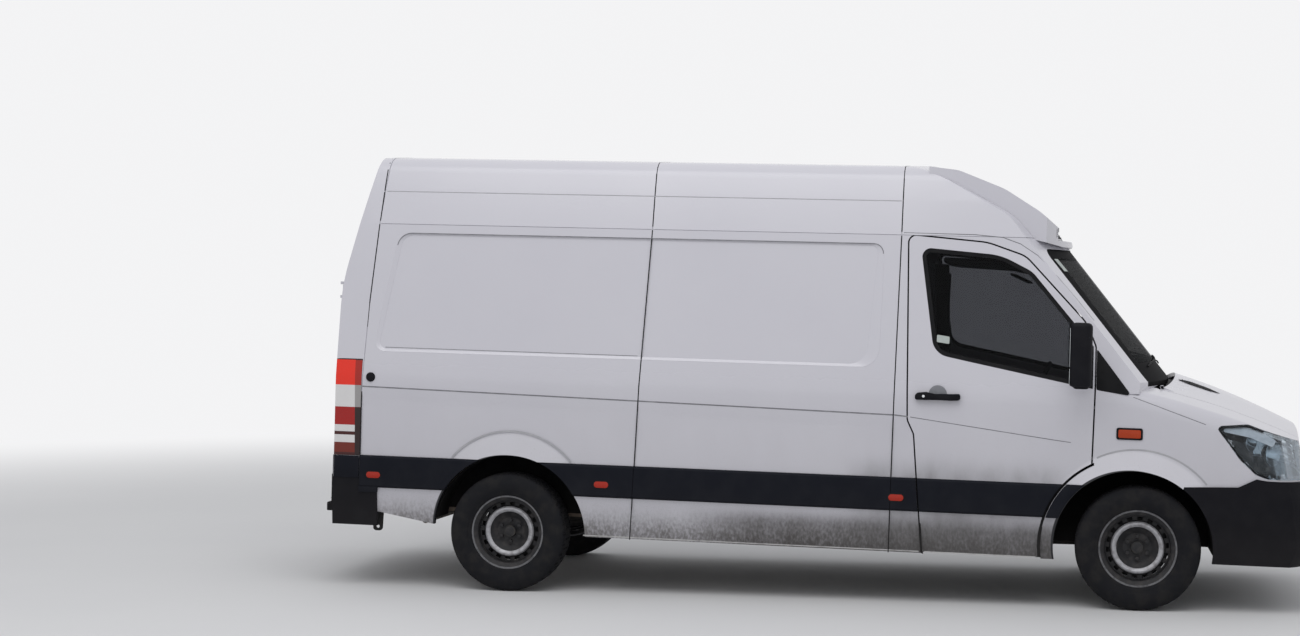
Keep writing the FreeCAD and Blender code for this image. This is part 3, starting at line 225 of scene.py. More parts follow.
def joined(objs):
    """One mesh from several."""
    only(*objs)
    bpy.ops.object.join()
    return bpy.context.object


def outline(points, filled=False):
    """A circle whose vertices are moved to the given places."""
    only()
    bpy.ops.mesh.primitive_circle_add(vertices=len(points), radius=0.1,
                                      fill_type="NGON" if filled else "NOTHING")
    ring = bpy.context.object
    for vertex, point in zip(ring.data.vertices, points):
        vertex.co = point
    return ring


def block(low, high, bevel=0.0, segments=2):
    """A cube added at its size and place, its edges bevelled."""
    only()
    low, high = Vector(low), Vector(high)
    bpy.ops.mesh.primitive_cube_add(size=1, location=(low + high) / 2, scale=high - low)
    cube = settle(bpy.context.object)
    if bevel:
        modify(cube, "BEVEL", width=bevel, segments=segments, limit_method="NONE")
    return cube


def plate(points, thickness, bevel=0.0):
    """Outline filled, then extruded by a vector."""
    sheet = outline(points, filled=True)
    edit(sheet)
    bpy.ops.mesh.extrude_region_move(TRANSFORM_OT_translate={"value": thickness})
    tidy(sheet)
    if bevel:
        round_edges(sheet, bevel)
    return sheet


def slab(shape, start, end, bevel=0.0):
    """Side outline of (x, z) points, filled from one y to another."""
    return plate([(p[0], start, p[1]) for p in shape], (0, end - start, 0), bevel)


def band(outer, inner, thickness=LINE):
    """Flat strip between two outlines with as many points each, given a thickness."""
    strip = outline(outer)
    edit(strip, kind="EDGE")
    bpy.ops.mesh.extrude_region_move()
    object_mode()
    for vertex, point in zip(list(strip.data.vertices)[len(outer):], inner):
        vertex.co = point
    face_outward(strip)
    modify(strip, "SOLIDIFY", thickness=thickness, offset=0)
    tidy(strip)
    return strip


def traced(shape, lay, off, width, thickness=LINE):
    """Line inside a flat outline, laid a distance off a face by that face's own function."""
    return band(*([lay(p.x, p.y, off) for p in line] for line in (shape, inset(shape, width))), thickness)


def spun(profile, steps, closed=True, place=None):
    """Profile of (y, radius) points spun about the Y axis through the origin, then moved by a matrix."""
    ring = outline([(radius, y, 0) for y, radius in profile])
    if not closed:
        edit(ring, lambda ends: ends == {0, len(profile) - 1}, "EDGE")
        bpy.ops.mesh.delete(type="EDGE_FACE")
    edit(ring, kind="VERT")
    bpy.ops.mesh.spin(steps=steps, angle=2 * math.pi, center=(0, 0, 0), axis=(0, 1, 0))
    tidy(ring)
    return ring if place is None else settle(ring, place)


def run_of_pipe(points, radius, smooth=True):
    """Round bar along a curve through the points."""
    only()
    curve = bpy.data.curves.new("bar", "CURVE")
    curve.dimensions = "3D"
    curve.bevel_depth = radius
    curve.bevel_resolution = 3
    curve.use_fill_caps = True
    spline = curve.splines.new("BEZIER")
    spline.bezier_points.add(len(points) - 1)
    for knot, point in zip(spline.bezier_points, points):
        knot.co = point
        knot.handle_left_type = knot.handle_right_type = "AUTO" if smooth else "VECTOR"
    bar = bpy.data.objects.new("bar", curve)
    bpy.context.collection.objects.link(bar)
    only(bar)
    bpy.ops.object.convert(target="MESH")
    return bpy.context.object


def lane(left, right, thickness=LINE):
    """Strip between two open lines with as many points each, given a thickness."""
    only()
    bpy.ops.mesh.primitive_grid_add(x_subdivisions=len(left) - 1, y_subdivisions=1, size=2)
    strip = bpy.context.object
    for vertex in strip.data.vertices:
        i = round((vertex.co.x + 1) / 2 * (len(left) - 1))
        vertex.co = Vector(left[i] if vertex.co.y > 0 else right[i])
    modify(strip, "SOLIDIFY", thickness=thickness, offset=0)
    tidy(strip)
    return strip


def ribbon(path, half, thickness=LINE):
    """Strip along a path of points, reaching half to each side."""
    half = Vector(half)
    return lane([Vector(p) + half for p in path], [Vector(p) - half for p in path], thickness)


SKINS = {}


def touched(node, start, way):
    """Where a line from a start meets a CAD node, in the body's level frame, or the start itself."""
    if node not in SKINS:
        mesh = frame["nodes"][node]
        SKINS[node] = BVHTree.FromPolygons([mesh.matrix_world @ v.co for v in mesh.data.vertices],
                                           [p.vertices for p in mesh.data.polygons])
    hit = SKINS[node].ray_cast(PLACE @ Vector(start), PLACE.to_3x3() @ Vector(way))[0]
    return PLACE.inverted() @ hit if hit else Vector(start)


def outermost(nodes, start, way):
    """The hit of a ray on several nodes that lies nearest to its start, in a list, or an empty one."""
    start = Vector(start)
    hits = [touched(node, start, way) for node in nodes]
    hits = [hit for hit in hits if (hit - start).length > MISSED]
    return sorted(hits, key=lambda hit: (hit - start).length)[:1]


def from_side(node, shape, out=0.0):
    """Points of an (x, z) outline on a node's right face, moved outward."""
    return [touched(node, (p[0], BESIDE, p[1]), (0, 1, 0)) - Vector((0, out, 0)) for p in shape]


def on_rear(y, z, off=0.0):
    """Point on the rear doors seen from behind, moved outward."""
    node = "rear_door_right" if y < 0 else "rear_door_left"
    return touched(node, (BEHIND, y, z), (1, 0, 0)) - Vector((off, 0, 0))


def on_front(y, z, off=0.0):
    """Point on the front bumper seen from ahead, moved outward."""
    return touched("front_bumper", (AHEAD, y, z), (-1, 0, 0)) + Vector((off, 0, 0))


def on_screen(y, z, off=0.004):
    """Point on the windscreen, moved off it."""
    return touched("windscreen", (AHEAD, y, z), (-1, 0, 0)) + Vector((0.78, 0, 0.62)) * off


def on_bonnet(x, y, off):
    """Point on the bonnet seen from above, moved up."""
    return touched("bonnet", (x, y, 3), (0, 0, -1)) + Vector((0, 0, off))


def rounded(corners, steps=6):
    """Points of a flat outline whose (u, v, radius) corners are rounded."""
    points = []
    flat = [Vector((u, v)) for u, v, radius in corners]
    for i, (u, v, radius) in enumerate(corners):
        corner = flat[i]
        back = (flat[i - 1] - corner).normalized()
        ahead = (flat[(i + 1) % len(flat)] - corner).normalized()
        half = back.angle(ahead) / 2
        run = radius / math.tan(half)
        centre = corner + (back + ahead).normalized() * (radius / math.sin(half))
        start, end = corner + back * run - centre, corner + ahead * run - centre
        turn = start.angle_signed(end) if radius else 0
        for k in range(steps + 1 if radius else 1):
            spoke = start.copy()
            spoke.rotate(Matrix.Rotation(-turn * k / steps, 2))
            points.append(centre + spoke if radius else corner)
    return points


def lozenge(u, v, half, rise, radius, steps=5):
    """Rounded oblong about a point."""
    return rounded([(u - half, v - rise, radius), (u + half, v - rise, radius), (u + half, v + rise, radius),
                    (u - half, v + rise, radius)], steps)


def inset(points, amount):
    """Flat outline moved inward (or outward where negative) along its own normals."""
    area = sum(a.x * b.y - b.x * a.y for a, b in zip(points, points[1:] + points[:1]))
    side = 1 if area > 0 else -1
    moved = []
    for i, point in enumerate(points):
        along = (points[(i + 1) % len(points)] - points[i - 1]).normalized()
        moved.append(point + Vector((-along.y, along.x)) * amount * side)
    return moved


def side_y(x, z, proud=0.0):
    """Y of the right side's surface at a point, moved outward."""
    taper = min(max((x - TAPER_FROM) / (TAPER_TO - TAPER_FROM), 0), 1)
    seam = SEAM_Y + (SEAM_Y_FRONT - SEAM_Y) * taper
    lean = max(z - BELT_Z, 0) / (SEAM_Z - BELT_Z)
    return -(SIDE_Y - (SIDE_Y - seam) * lean) - proud


def on_side(points, proud=0.0):
    """(x, z) points laid on the right side's surface."""
    return [(p[0], side_y(p[0], p[1], proud), p[1]) for p in points]


def arc_points(centre, radius, start, end, steps=32):
    """(x, z) points of an arc from one height angle to another, in degrees."""
    turns = [math.radians(start + (end - start) * k / steps) for k in range(steps + 1)]
    return [(centre[0] + radius * math.cos(t), centre[1] + radius * math.sin(t)) for t in turns]


def behind_wheel(radius, heights):
    """(x, z) points at some heights on the rear half of a circle round the front arch's centre."""
    x, z = FRONT_ARCH
    return [(x - math.sqrt(radius ** 2 - (height - z) ** 2), height) for height in heights]


def chosen(points, keep):
    """The points whose numbers are kept."""
    return [points[i] for i in keep]


# Materials

class Value:
    """A socket of a material, on which sums are written as on a number."""

    def __init__(self, material, socket):
        self.material = material
        self.socket = socket

    def _sum(self, operation, a, b=0.0):
        return self.material.node("Math", {"operation": operation}, [a, b]).out()

    def __add__(self, other):
        return self._sum("ADD", self, other)

    def __radd__(self, other):
        return self._sum("ADD", other, self)

    def __sub__(self, other):
        return self._sum("SUBTRACT", self, other)

    def __rsub__(self, other):
        return self._sum("SUBTRACT", other, self)

    def __mul__(self, other):
        return self._sum("MULTIPLY", self, other)

    def __rmul__(self, other):
        return self._sum("MULTIPLY", other, self)

    def __abs__(self):
        return self._sum("ABSOLUTE", self)

    def sine(self):
        return self._sum("SINE", self)

    def wave(self):
        """Sine of the value, brought to 0 to 1."""
        return self.sine() * 0.5 + 0.5

    def over(self, other):
        """The larger of the two."""
        return self._sum("MAXIMUM", self, other)

    def under(self, other):
        """The smaller of the two."""
        return self._sum("MINIMUM", self, other)

    def step(self, start, end):
        """0 before start, 1 past end, smooth between; end may be the smaller."""
        low, high = (start, end) if start < end else (end, start)
        ramp = self.material.node("MapRange", {"interpolation_type": "SMOOTHSTEP"},
                                  {"Value": self, "From Min": low, "From Max": high}).out()
        return ramp if start < end else 1 - ramp

    def between(self, low, high, soft):
        """1 between two values, fading over soft outside them."""
        return self.step(low - soft, low) * self.step(high + soft, high)


class Node:
    """A node just added, whose outputs are taken as values."""

    def __init__(self, material, node):
        self.material = material
        self.node = node

    def out(self, key=0):
        return Value(self.material, self.node.outputs[key])


class Finish:
    """A material round one Principled shader."""

    def __init__(self, name, **constants):
        self.material = bpy.data.materials.new(name)
        self.material.use_nodes = True
        self.tree = self.material.node_tree
        self.shader = self.tree.nodes["Principled BSDF"]
        self.output = self.tree.nodes["Material Output"]
        for key, value in constants.items():
            self.shader.inputs[key.replace("_", " ").title().replace("Ior", "IOR")].default_value = value
        where = self.node("TexCoord")
        self.place = where.out("Object")
        parts = self.node("SeparateXYZ", {}, [self.place])
        self.x, self.y, self.z = (parts.out(axis) for axis in "XYZ")

    def node(self, kind, settings={}, sockets=()):
        """Add a shader node with its settings, then set or link its sockets."""
        node = self.tree.nodes.new("ShaderNode" + kind)
        for key, value in settings.items():
            setattr(node, key, value)
        pairs = sockets.items() if isinstance(sockets, dict) else enumerate(sockets)
        for key, value in pairs:
            self.feed(node.inputs[key], value)
        return Node(self, node)

    def feed(self, socket, value):
        """Link a value to a socket, or set the socket to a number or a colour."""
        if isinstance(value, Value):
            self.tree.links.new(value.socket, socket)
        elif isinstance(value, tuple) and socket.type == "RGBA":
            socket.default_value = (*value, 1.0)[:4]
        else:
            socket.default_value = value

    def noise(self, scale, detail=3.0, stretch=(1, 1, 1)):
        """Noise from 0 to 1 at a scale per metre, drawn out along the axes by stretch."""
        where = self.node("Mapping", {}, {"Vector": self.place, "Scale": stretch}).out()
        return self.node("TexNoise", {}, {"Vector": where, "Scale": scale, "Detail": detail}).out("Fac")

    def mix(self, factor, a, b):
        """Colour a where the factor is 0 and b where it is 1."""
        return self.node("Mix", {"data_type": "RGBA"}, {0: factor, 6: a, 7: b}).out(2)

    def coats(self, tone, *over):
        """A colour with others laid over it, each a factor and a colour."""
        for factor, colour in over:
            tone = self.mix(factor, tone, colour)
        return tone

    def made(self, colour, roughness, relief=None, coat=None):
        """The material, once the shader is fed; a relief is its height value, strength and depth."""
        fed = {"Base Color": colour, "Roughness": roughness}
        if coat is not None:
            fed["Coat Weight"] = coat
        if relief:
            fed["Normal"] = self.node("Bump", {}, dict(zip(("Height", "Strength", "Distance"), relief))).out()
        for key, value in fed.items():
            self.feed(self.shader.inputs[key], value)
        return self.material

    def pane(self, tint, gloss, veil=0.0):
        """See-through shader that mirrors more at a slant, with a veil of dust."""
        through = self.node("BsdfTransparent", {}, {"Color": tint}).out()
        shine = self.node("BsdfGlossy", {}, {"Color": (0.9, 0.92, 0.95), "Roughness": 0.03}).out()
        factor = self.node("Fresnel", {}, {"IOR": 1.45}).out() * gloss
        if veil:
            factor = (factor + self.noise(30, 4).step(0.45, 0.8) * veil).under(1.0)
        return self.blend(factor, through, shine)

    def blend(self, factor, a, b):
        """Shader a where the factor is 0 and b where it is 1."""
        return self.node("MixShader", {}, {0: factor, 1: a, 2: b}).out()

    def shown(self):
        """The Principled shader's own result."""
        return Value(self, self.shader.outputs[0])

    def surface(self, shader):
        """The material, once its surface is a shader."""
        self.feed(self.output.inputs["Surface"], shader)
        return self.material


def body_height(look):
    """Height in the van's level frame, in which the body's heights are given."""
    return look.z + (look.x - REAR_X) * math.tan(RAKE)


# Heights at which the sill's dirt ends under the rub strip and the door's dirt starts over it
DIRT_TOP = 0.585
STRIP_TOP = 0.775


def paint_white():
    """White paint, cleaner on top, with road dirt that thickens down the sides, painted highlights on the
    arch lips and painted shade inside the arch openings.
    """
    look = Finish("white_paint", roughness=0.34, coat_weight=0.2, coat_roughness=0.2)
    high = body_height(look)
    along = look.x - REAR_X

    def ring(centre, start, end):
        """0 to 1 between two distances from an arch's centre."""
        x, z = along - centre[0], high - centre[1]
        return (x * x + z * z).step(start ** 2, end ** 2)

    cloud = look.noise(1.6, 4)
    film = look.noise(7, 5, (1, 1, 0.45))
    speck = look.noise(190, 2)
    streak = look.noise(26, 4, (1, 1, 0.22))
    mottle = look.noise(75, 6, (1, 1, 0.55))
    grit = look.noise(300, 3)
    # Painted highlight on the raised lips over the arches, paler where they catch the light
    upper = high.step(FLARE_FOOT - 0.015, FLARE_FOOT) * abs(look.y).step(0.90, 0.93) * 0.30
    flare_highlights = [(ring((x, z), radius, radius - 0.022) * upper, shine) for (x, z, radius), shine in
              ((FLARES["front"], (0.88, 0.87, 0.92)), (FLARES["rear"], (0.66, 0.655, 0.69)))]
    haze = high.step(1.5, 0.6) * (0.10 + film * 0.22)
    # Spray on the sill, on the door's foot and above the rub strip, then grit and flecks
    sill = high.step(DIRT_TOP, 0.36)
    spray = (sill * (0.10 + (film * 1.3 - 0.25).over(0.0) * 0.55)
             + (mottle + sill * 0.25).step(0.42, 0.92) * sill * 0.55)
    door = along.between(1.55, 3.30, 0.55)
    low = high.step(DIRT_TOP, 0.47) * (0.30 + (mottle * 0.6 + streak * 0.5) * 0.75)
    above = high.step(0.98, STRIP_TOP) * along.between(2.20, 3.10, 0.30) * (0.25 + film * 0.75)
    dust = grit.step(0.56, 0.68) * high.step(0.95, 0.45) * 0.25
    fleck = speck.step(0.66, 0.74) * high.step(1.6, 0.5) * 0.35
    # Dark edges of the openings and of the gap behind the front wheel; the rings also darken every white face
    # inside the openings, painted shade in the wheelhouses
    lip = (ring(REAR_ARCH, REAR_ARCH_R + 0.006, REAR_ARCH_R + 0.002)
           + ring(FRONT_ARCH, FRONT_ARCH_R + 0.006, FRONT_ARCH_R + 0.002)
           + ring(FRONT_ARCH, WING_EDGE_R - 0.006, WING_EDGE_R - 0.002)
           * ring(FRONT_ARCH, WING_EDGE_R + 0.008, WING_EDGE_R + 0.004)
           * high.step(DIRT_TOP - 0.005, DIRT_TOP) * high.step(STRIP_TOP + 0.005, STRIP_TOP)).under(1.0)
    tone = look.coats(look.mix(cloud, (0.520, 0.512, 0.562), (0.560, 0.553, 0.595)), *flare_highlights,
                      (haze, (0.36, 0.35, 0.36)),
                      (spray.under(0.85), (0.085, 0.078, 0.072)),
                      ((door * low).under(0.88), (0.045, 0.040, 0.038)),
                      ((above * above).under(0.75), (0.075, 0.072, 0.072)),
                      (dust, (0.10, 0.095, 0.09)),
                      (fleck, (0.12, 0.11, 0.10)),
                      (lip, (0.006, 0.006, 0.009)))
    return look.made(tone, 0.26 + haze * 0.7 + spray * 0.35, (look.noise(420, 2), 0.035, 0.0006),
                     0.20 - haze * 0.18)


def plastic_black(name, colour, roughness, grain, dust):
    """Moulded plastic with a fine grain, paler where it is faded and dusty."""
    look = Finish(name, roughness=roughness, specular_ior_level=0.13)
    patch = look.noise(9, 4)
    low = body_height(look).step(0.75, 0.35)
    tone = look.coats(colour, (patch.step(0.35, 0.75) * dust, tuple(c + 0.03 for c in colour)),
                      (low * dust * 0.7, (0.075, 0.068, 0.060)))
    return look.made(tone, roughness + patch * 0.18, (look.noise(grain, 3), 0.18, 0.0006))


def glass(name, tint, veil, gloss):
    """Thin tinted pane."""
    look = Finish(name)
    return look.surface(look.pane(tint, gloss, veil))


def windscreen_glass():
    """Windscreen with the black printed border."""
    look = Finish("windscreen_glass", specular_ior_level=0.02)
    high = body_height(look)
    edge = 0.842 - (high - 1.40) * 0.16
    border = (abs(look.y) - edge).step(-0.104, -0.100)
    border = border.over(high.step(2.055, 2.062)).over(high.step(1.475, 1.470))
    look.made((0.005, 0.005, 0.006), 0.6)
    return look.surface(look.blend(border, look.pane((0.40, 0.40, 0.40), 0.06), look.shown()))


def tail_lamp_bands():
    """Tail lamp in its bands of red, white and orange, from the top down."""
    look = Finish("tail_lamp_bands", roughness=0.2, coat_weight=0.12, specular_ior_level=0.3)
    high = body_height(look)
    flute = (look.x * 900 + look.y * 900).wave()
    dark = (0.05, 0.006, 0.005)
    rim = (look.x - REAR_X).step(-0.940, -0.937).over(high.step(1.346, 1.349))
    rim = rim * (1 - high.step(1.06, 1.065) * high.step(1.347, 1.345) * 0.45)
    tone = look.coats((0.66, 0.65, 0.65), (high.step(1.195, 1.197), (0.78, 0.028, 0.012)),
                      (high.between(0.957, 1.063, 0.002), (0.33, 0.007, 0.006)),
                      (high.between(0.897, 0.915, 0.002), dark),
                      (high.step(0.851, 0.849), (0.15, 0.016, 0.008)),
                      (high.step(0.792, 0.789), dark),
                      (rim, (0.018, 0.008, 0.008)),
                      (look.noise(14, 4) * 0.08, (0.12, 0.09, 0.08)))
    return look.made(tone, 0.20 + flute * 0.12, (flute, 0.25, 0.0005))


def grille_finish():
    """Black bars inside a body-coloured surround."""
    look = Finish("grille_plastic", roughness=0.4, specular_ior_level=0.3)
    high = body_height(look)
    around = abs(look.y).step(0.546, 0.549).over(high.step(1.041, 1.044)).over(high.step(0.868, 0.865))
    cloud = look.noise(12, 4)
    tone = look.mix(around, look.mix(cloud, (0.004, 0.004, 0.006), (0.012, 0.012, 0.013)),
                    look.mix(cloud, (0.50, 0.495, 0.54), (0.56, 0.555, 0.60)))
    return look.made(tone, 0.45 - around * 0.12)


def lamp_amber():
    """Fine-ribbed lens, red-orange on the markers and more orange on the front wing."""
    look = Finish("lamp_amber", roughness=0.25, coat_weight=0.08, specular_ior_level=0.25)
    rib = (look.x * 1300).wave()
    front = (look.x - REAR_X).step(3.0, 3.2)
    tone = look.mix(rib, look.mix(front, (0.24, 0.012, 0.006), (0.26, 0.022, 0.005)),
                    look.mix(front, (0.46, 0.028, 0.012), (0.52, 0.060, 0.010)))
    return look.made(tone, 0.16 + rib * 0.1, (rib, 0.4, 0.0006))


def rubber_tyre():
    """Tyre rubber, dusty in patches."""
    look = Finish("tyre_rubber", roughness=0.82, specular_ior_level=0.22)
    dust = look.noise(16, 5)
    tone = look.mix(dust.step(0.35, 0.8), (0.0055, 0.0058, 0.008), (0.017, 0.016, 0.016))
    return look.made(tone, 0.72 + dust * 0.2, (look.noise(340, 3), 0.25, 0.0007))


def metal_paint(name, colour, worn, roughness, metallic=0.0, patch_scale=18):
    """Painted or bare metal with dull patches, dirt and a fine orange peel."""
    look = Finish(name, roughness=roughness, metallic=metallic)
    patch = look.noise(patch_scale, 5)
    speck = look.noise(170, 3)
    tone = look.coats(colour, (patch.step(0.42, 0.72), worn),
                      (speck.step(0.62, 0.76) * 0.5, tuple(c * 0.5 for c in colour)))
    return look.made(tone, roughness + patch * 0.25, (speck, 0.12, 0.0006))


def chrome(name, colour, roughness):
    """Bright metal with smears."""
    look = Finish(name, roughness=roughness, metallic=1.0)
    smear = look.noise(40, 4)
    return look.made(look.mix(smear.step(0.4, 0.9), colour, tuple(c * 0.7 for c in colour)),
                     roughness + smear * 0.15)


def cloth_seat():
    """Woven seat cloth: fine crossing threads, with a painted highlight that makes them paler along their
    tops.
    """
    look = Finish("seat_cloth", roughness=0.92, sheen_weight=0.25)
    warp, weft = ((way * 2600).sine() for way in (look.y, look.x + look.z))
    weave_and_sheen = warp * weft * 0.5 + 0.5
    # Painted highlight: the raised tops of the weave are coloured paler
    tone = look.coats(look.mix(weave_and_sheen, (0.028, 0.029, 0.033), (0.070, 0.072, 0.080)),
                      (look.noise(8, 4) * 0.4, (0.045, 0.043, 0.042)))
    return look.made(tone, 0.85 + weave_and_sheen * 0.1, (weave_and_sheen, 0.3, 0.0006))


def board_lining():
    """Resin-faced plywood of the load floor, scuffed along its length."""
    look = Finish("load_floor_board", roughness=0.6)
    grain = look.noise(26, 5, (0.08, 1, 1))
    scuff = look.noise(60, 4, (0.05, 1, 1))
    tone = look.coats(look.mix(grain, (0.10, 0.075, 0.055), (0.17, 0.13, 0.10)),
                      (scuff.step(0.58, 0.66) * 0.5, (0.26, 0.23, 0.20)))
    return look.made(tone, 0.5 + scuff * 0.3, (grain, 0.2, 0.0008))


WHITE = paint_white()
BLACK = plastic_black("black_plastic", (0.0045, 0.0045, 0.007), 0.50, 520, 0.12)
STRIP = plastic_black("rub_strip_plastic", (0.0045, 0.0055, 0.010), 0.58, 640, 0.12)
INSIDE = plastic_black("interior_plastic", (0.028, 0.029, 0.031), 0.62, 480, 0.2)
RUBBER = plastic_black("rubber_seal", (0.006, 0.006, 0.007), 0.6, 700, 0.2)
LINER = plastic_black("arch_liner_plastic", (0.0035, 0.0035, 0.004), 0.85, 240, 0.15)
SHADOW = metal_paint("crease_shadow", (0.17, 0.17, 0.185), (0.24, 0.24, 0.255), 0.6)
SOFT_SHADOW = metal_paint("soft_crease_shadow", (0.34, 0.34, 0.36), (0.40, 0.40, 0.42), 0.5)
REFLECTOR = metal_paint("lamp_reflector", (0.62, 0.63, 0.66), (0.45, 0.47, 0.50), 0.22, 0.55)
# Painted shade: the flat grey scoop disc behind each door handle stands in for the shade of its hollow
SCOOP_SHADE = metal_paint("handle_scoop_paint", (0.20, 0.205, 0.225), (0.26, 0.265, 0.285), 0.4)
LABEL = metal_paint("blank_label", (0.40, 0.44, 0.42), (0.34, 0.37, 0.36), 0.6)
SIDE_GLASS = glass("door_glass", (0.47, 0.475, 0.49), 0.0, 0.18)
SCREEN = windscreen_glass()
CLEAR = glass("lamp_clear", (0.86, 0.89, 0.91), 0.03, 0.5)
BANDS = tail_lamp_bands()
AMBER = lamp_amber()
RED = metal_paint("red_lens", (0.26, 0.012, 0.010), (0.16, 0.010, 0.008), 0.2)
GRILLE = grille_finish()
TYRE = rubber_tyre()
CHASSIS = metal_paint("chassis_black", (0.010, 0.010, 0.010), (0.034, 0.029, 0.025), 0.6)
IRON = metal_paint("engine_iron", (0.055, 0.053, 0.050), (0.10, 0.085, 0.07), 0.7, 0.4)
EXHAUST = metal_paint("exhaust_steel", (0.36, 0.34, 0.31), (0.20, 0.14, 0.10), 0.42, 0.85, 30)
WHEEL = metal_paint("wheel_dark_steel", (0.010, 0.010, 0.012), (0.034, 0.031, 0.031), 0.55, 0.1, 26)
SILVER = metal_paint("wheel_bright_steel", (0.40, 0.40, 0.42), (0.24, 0.23, 0.24), 0.38, 0.35, 30)
RIM_EDGE = metal_paint("wheel_rim_edge", (0.17, 0.17, 0.18), (0.08, 0.08, 0.085), 0.45, 0.3, 30)
SILL_EDGE = metal_paint("sill_flange", (0.42, 0.415, 0.41), (0.26, 0.255, 0.25), 0.4)
CHROME = chrome("lamp_chrome", (0.80, 0.82, 0.84), 0.10)
MIRROR_GLASS = chrome("mirror_glass", (0.72, 0.76, 0.78), 0.03)
CLOTH = cloth_seat()
BOARD = board_lining()

FINISHES = {
    "white_paint": WHITE, "black_plastic": BLACK, "interior_plastic": INSIDE, "floor_lining": BOARD,
    "window_glass": SIDE_GLASS, "lamp_clear": CLEAR, "lamp_red": BANDS, "lamp_amber": AMBER,
    "seat_cloth": CLOTH, "chassis_black": CHASSIS, "engine_iron": IRON, "exhaust_steel": EXHAUST,
    "wheel_steel": WHEEL, "tyre_rubber": TYRE,
}
OWN_FINISH = {"windscreen": SCREEN, "grille": GRILLE, "rub_strips": STRIP, "door_trim_right": STRIP,
              "door_trim_left": STRIP, "arch_liners": LINER, "fuel_tank": LINER}

# Nodes whose pressed shapes turn by only a few degrees, and the angles over which faces part
PRESSED = ("quarter_right", "quarter_left", "mid_panel_right", "mid_frame_left", "sliding_door",
           "fender_right", "fender_left")
SPLIT_PRESSED = 6.2
SPLIT_OTHER = 24


def dress_frame():
    """Every CAD node gets its finish; curved faces are shaded smooth, edges kept."""
    slots = {row["node"]: row["material_slot"] for row in frame["record"]["subparts"]}
    for name, node in frame["nodes"].items():
        node.data.materials.clear()
        node.data.materials.append(OWN_FINISH.get(name) or FINISHES[slots[name]])
        node.data.polygons.foreach_set("use_smooth", [True] * len(node.data.polygons))
        weld = node.modifiers.new("Weld", "WELD")
        weld.merge_threshold = MERGE
        split = node.modifiers.new("Split", "EDGE_SPLIT")
        split.split_angle = math.radians(SPLIT_PRESSED if name in PRESSED else SPLIT_OTHER)


# Wheels

WHEEL_LOOKS = [WHEEL, SILVER, RIM_EDGE]
TYRE_STEPS = 144
BOLTS = 6
BOLT_CIRCLE_R = 0.063


def mirrored_rows(rows):
    """Profile from one side to the other of rows (distance from the middle plane, radius)."""
    return [(-out, radius) for out, radius in rows] + [(out, radius) for out, radius in reversed(rows)]


def steel_wheel():
    """Rim, pierced disc, bolts and cap about the Y axis, outer face towards -Y."""
    face = -RIM_W / 2

    def turned(rows, steps, closed=True):
        """Spun profile of rows (distance behind the outer face, radius)."""
        return spun([(face + back, radius) for back, radius in rows], steps, closed)

    def vent(centre, normal):
        """Half of each 20 degrees between two radii is open."""
        turn = math.degrees(math.atan2(centre.z, centre.x)) % 20
        return 0.158 < math.hypot(centre.x, centre.z) < 0.174 and turn < 10

    rim = mirrored_rows([(0.089, 0.2100), (0.089, 0.2186), (0.083, 0.2190), (0.078, 0.2050), (0.070, 0.1960),
                         (0.060, 0.1900)])
    inner = mirrored_rows([(0.084, 0.2080), (0.080, 0.1985), (0.066, 0.186)])
    well = spun(rim + inner[::-1], 96)
    disc = turned([(0.088, 0.036), (0.088, 0.080), (0.082, 0.090), (0.056, 0.118), (0.047, 0.127),
                   (0.045, 0.134), (0.047, 0.142), (0.056, 0.149), (0.064, 0.155), (0.066, 0.157),
                   (0.066, 0.175), (0.067, 0.187)], 72, closed=False)
    drop_faces(disc, vent)
    modify(disc, "SOLIDIFY", thickness=0.006, offset=-1)
    round_edges(disc, 0.0012, angle=60)
    bolts = []
    for i in range(BOLTS):
        angle = 2 * math.pi * (i + 0.5) / BOLTS
        only()
        bpy.ops.mesh.primitive_cylinder_add(
            vertices=6, radius=0.0125, depth=0.020, rotation=(math.pi / 2, 0, 0),
            location=(BOLT_CIRCLE_R * math.cos(angle), face + 0.080, BOLT_CIRCLE_R * math.sin(angle)))
        bolts.append(settle(bpy.context.object))
        round_edges(bolts[-1], 0.002, angle=30)
    cap = turned([(0.090, 0.0001), (0.058, 0.0001), (0.056, 0.018), (0.060, 0.030), (0.066, 0.034),
                  (0.090, 0.038)], 48)
    drum = turned([(0.094, 0.0360), (0.094, 0.1640), (0.100, 0.1740), (0.150, 0.1740), (0.152, 0.1650),
                   (0.108, 0.1600), (0.106, 0.0360)], 64)
    wheel = joined([well, disc, cap, drum] + bolts)
    wheel.data.materials.clear()
    for look in WHEEL_LOOKS:
        wheel.data.materials.append(look)
    for part in wheel.data.polygons:
        radius = math.hypot(part.center.x, part.center.z)
        bright = 0.121 < radius < 0.147 and part.center.y < face + 0.062
        part.material_index = 2 if radius > 0.205 else int(bright)
    return wheel


